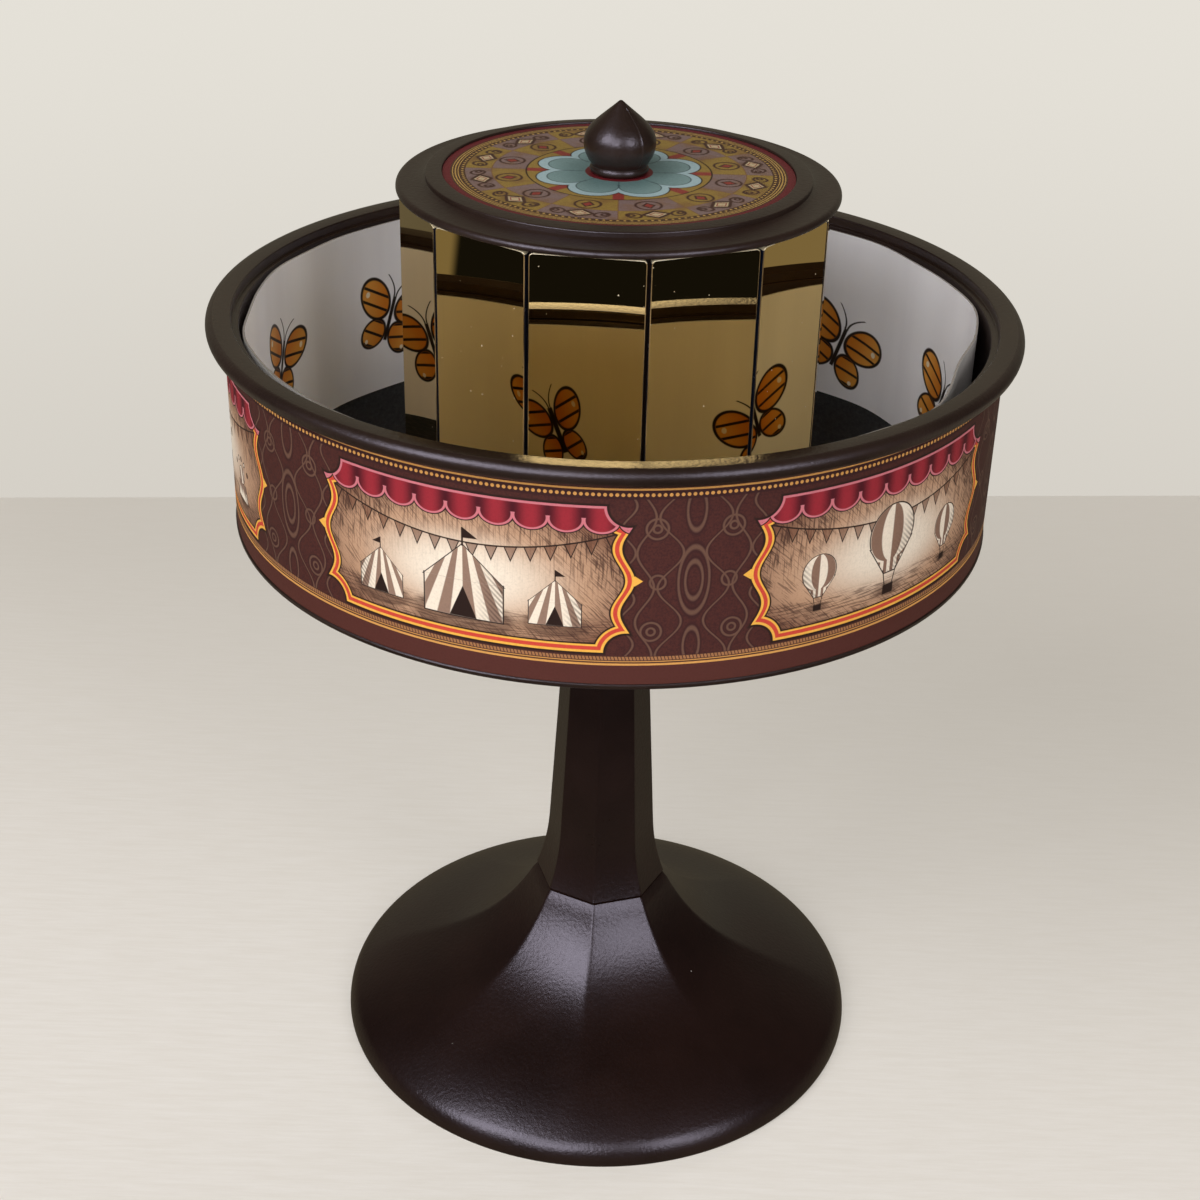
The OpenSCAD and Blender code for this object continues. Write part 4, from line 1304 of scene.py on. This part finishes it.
def pale_floor():
    """The table's pale planks, with painted shade that darkens them towards the back and the right.
    For the camera, half their colour is a painted glow, which softens the object's shadow.
    The gloss sees a painted glow in place of the lit planks, dim near the object and brighter further out.
    Its front part shows dark in the mirrors, as the room in front of a table does."""
    finish = Finish("pale_floor", Roughness=0.7)
    x, y, _ = finish.split(finish.mm)
    grain = finish.noise(size=1.5, detail=6, stretch=(0.09, 1, 1), rough=0.75)
    plank = finish.mix(grain.rise(0.25, 0.75), PLANK_DARK, PLANK_LIGHT)
    slope_x, slope_y = SHADE_SLOPE
    # Painted shade, darker towards the back and the right.
    shade = (y * slope_y + x * slope_x).rise(SHADE_FROM, SHADE_TO) * SHADE_DEPTH
    plank = finish.mix(shade, plank, PLANK_PAINTED_SHADE)
    path = finish.add("ShaderNodeLightPath", output="Is Camera Ray")
    finish.feed(Base_Color=finish.mix(path * FLOOR_GLOW, plank, BLACK),
                Emission_Color=finish.mix(path, BLACK, plank), Emission_Strength=FLOOR_GLOW)
    # Painted reflection: the gloss sees a glow in place of the lit planks, dark in the front part.
    far = (x * x + y * y) ** 0.5
    front = (far - TABLE_FRONT).rise(0, TABLE_FRONT_SOFT) * (-y / far).rise(FRONT_FROM, FRONT_TO)
    table = finish.mix(far.rise(TABLE_FADE_FROM, TABLE_FADE_TO), TABLE_GLOSS_GLOW_NEAR, TABLE_GLOSS_GLOW_FAR)
    glossy_glow = finish.add("ShaderNodeEmission", {}, {"Color": finish.mix(front, table, ROOM_GLOSS)})
    lit = Wire(finish, finish.surface.outputs[0])
    blend = finish.add("ShaderNodeMixShader", {}, {0: path.other("Is Glossy Ray"), 1: lit, 2: glossy_glow})
    finish.plug(finish.tree.nodes["Material Output"], {"Surface": blend})
    return finish


def make_floor():
    """The table top, cut off on a slant behind the object."""
    bm = bmesh.new()
    bmesh.ops.create_grid(bm, x_segments=1, y_segments=1, size=FLOOR_FAR)
    for vert in bm.verts:
        if vert.co.y > 0:
            vert.co.y = FLOOR_BACK + vert.co.x * tan(FLOOR_BACK_TURN)
        vert.co.z = -FLOOR_DROP
    mesh = bpy.data.meshes.new("floor")
    bm.to_mesh(mesh)
    bm.free()
    mesh.materials.append(pale_floor().material)
    floor = bpy.data.objects.new("floor", mesh)
    bpy.context.scene.collection.objects.link(floor)


def make_world():
    """The camera sees the pale wall all round.
    The gloss sees a dimmer wall behind the object and a dim room elsewhere."""
    world = bpy.data.worlds.new("studio")
    bpy.context.scene.world = world
    world.use_nodes = True
    room = Nodes(world.node_tree)
    _, y, z = room.split(room.add("ShaderNodeTexCoord", output="Generated"))
    wall = room.mix(z.rise(WALL_FROM, WALL_TO), WALL_LOW, WALL_HIGH)
    behind = y.rise(BEHIND_FROM, BEHIND_TO) * (1 - z.rise(WALL_END_FROM, WALL_END_TO))
    path = room.add("ShaderNodeLightPath", output="Is Camera Ray")
    light = room.mix(path.other("Is Glossy Ray"), AMBIENT, room.mix(behind, DIM, WALL_GLOSS))
    room.plug(world.node_tree.nodes["Background"], {"Color": room.mix(path, light, wall), "Strength": 1.0})


COOL = (0.97, 0.955, 1)
MIDDLE = (0, 0, 0.1)
DRUM_MIDDLE = (0, 0, 0.15)


def softbox(name, place, size, power, aim=MIDDLE, shine=True):
    """A soft lamp that the camera doesn't see. Without shine, the gloss doesn't see it either."""
    lamp = bpy.data.lights.new(name, "AREA")
    lamp.shape = "RECTANGLE"
    lamp.size, lamp.size_y = size
    lamp.energy = power
    lamp.color = COOL
    made = bpy.data.objects.new(name, lamp)
    made.location = place
    made.rotation_mode = "QUATERNION"
    made.rotation_quaternion = (Vector(aim) - Vector(place)).to_track_quat("-Z", "Y")
    made.visible_camera = False
    made.visible_glossy = shine
    bpy.context.scene.collection.objects.link(made)


make_floor()
make_world()
softbox("left_softbox", place=(-1.66, -1.38, 1.68), size=(1.1, 1.8), power=41)
softbox("right_softbox", place=(1.42, -1.88, 1.3), size=(1, 1.5), power=26)
softbox("front_softbox", place=(-0.67, -2.32, 1.67), size=(1.45, 1.35), power=28)
softbox("low_softbox", place=(-0.64, -2.57, 1.01), size=(0.9, 0.55), power=8.5, aim=DRUM_MIDDLE)
softbox("back_softbox", place=(0.54, 2, 1.84), size=(1.4, 1), power=14, shine=False)


# The camera stands where the photo was taken from. Its place is in millimetres and its angles in radians.
CAMERA_AT = Vector((0, -414.89, 348.66)) * MM
CAMERA_PITCH = 0.50397
CAMERA_YAW = -0.00424
CAMERA_ROLL = -0.02559
PHOTO_W = 1200
FOCAL_PX = 1963.7
SENSOR = 36

lens = bpy.data.cameras.new("camera")
lens.sensor_width = SENSOR
lens.lens = FOCAL_PX * SENSOR / PHOTO_W
camera = bpy.data.objects.new("camera", lens)
level_ahead = Vector((sin(CAMERA_YAW), cos(CAMERA_YAW), 0))
ahead = level_ahead * cos(CAMERA_PITCH) - Vector((0, 0, sin(CAMERA_PITCH)))
level = Vector((cos(CAMERA_YAW), -sin(CAMERA_YAW), 0))
down = ahead.cross(level)
right = cos(CAMERA_ROLL) * level + sin(CAMERA_ROLL) * down
up = sin(CAMERA_ROLL) * level - cos(CAMERA_ROLL) * down
camera.matrix_world = Matrix((right, up, -ahead)).transposed().to_4x4()
camera.location = CAMERA_AT
bpy.context.scene.collection.objects.link(camera)
bpy.context.scene.camera = camera

bpy.context.scene.view_settings.view_transform = "Standard"
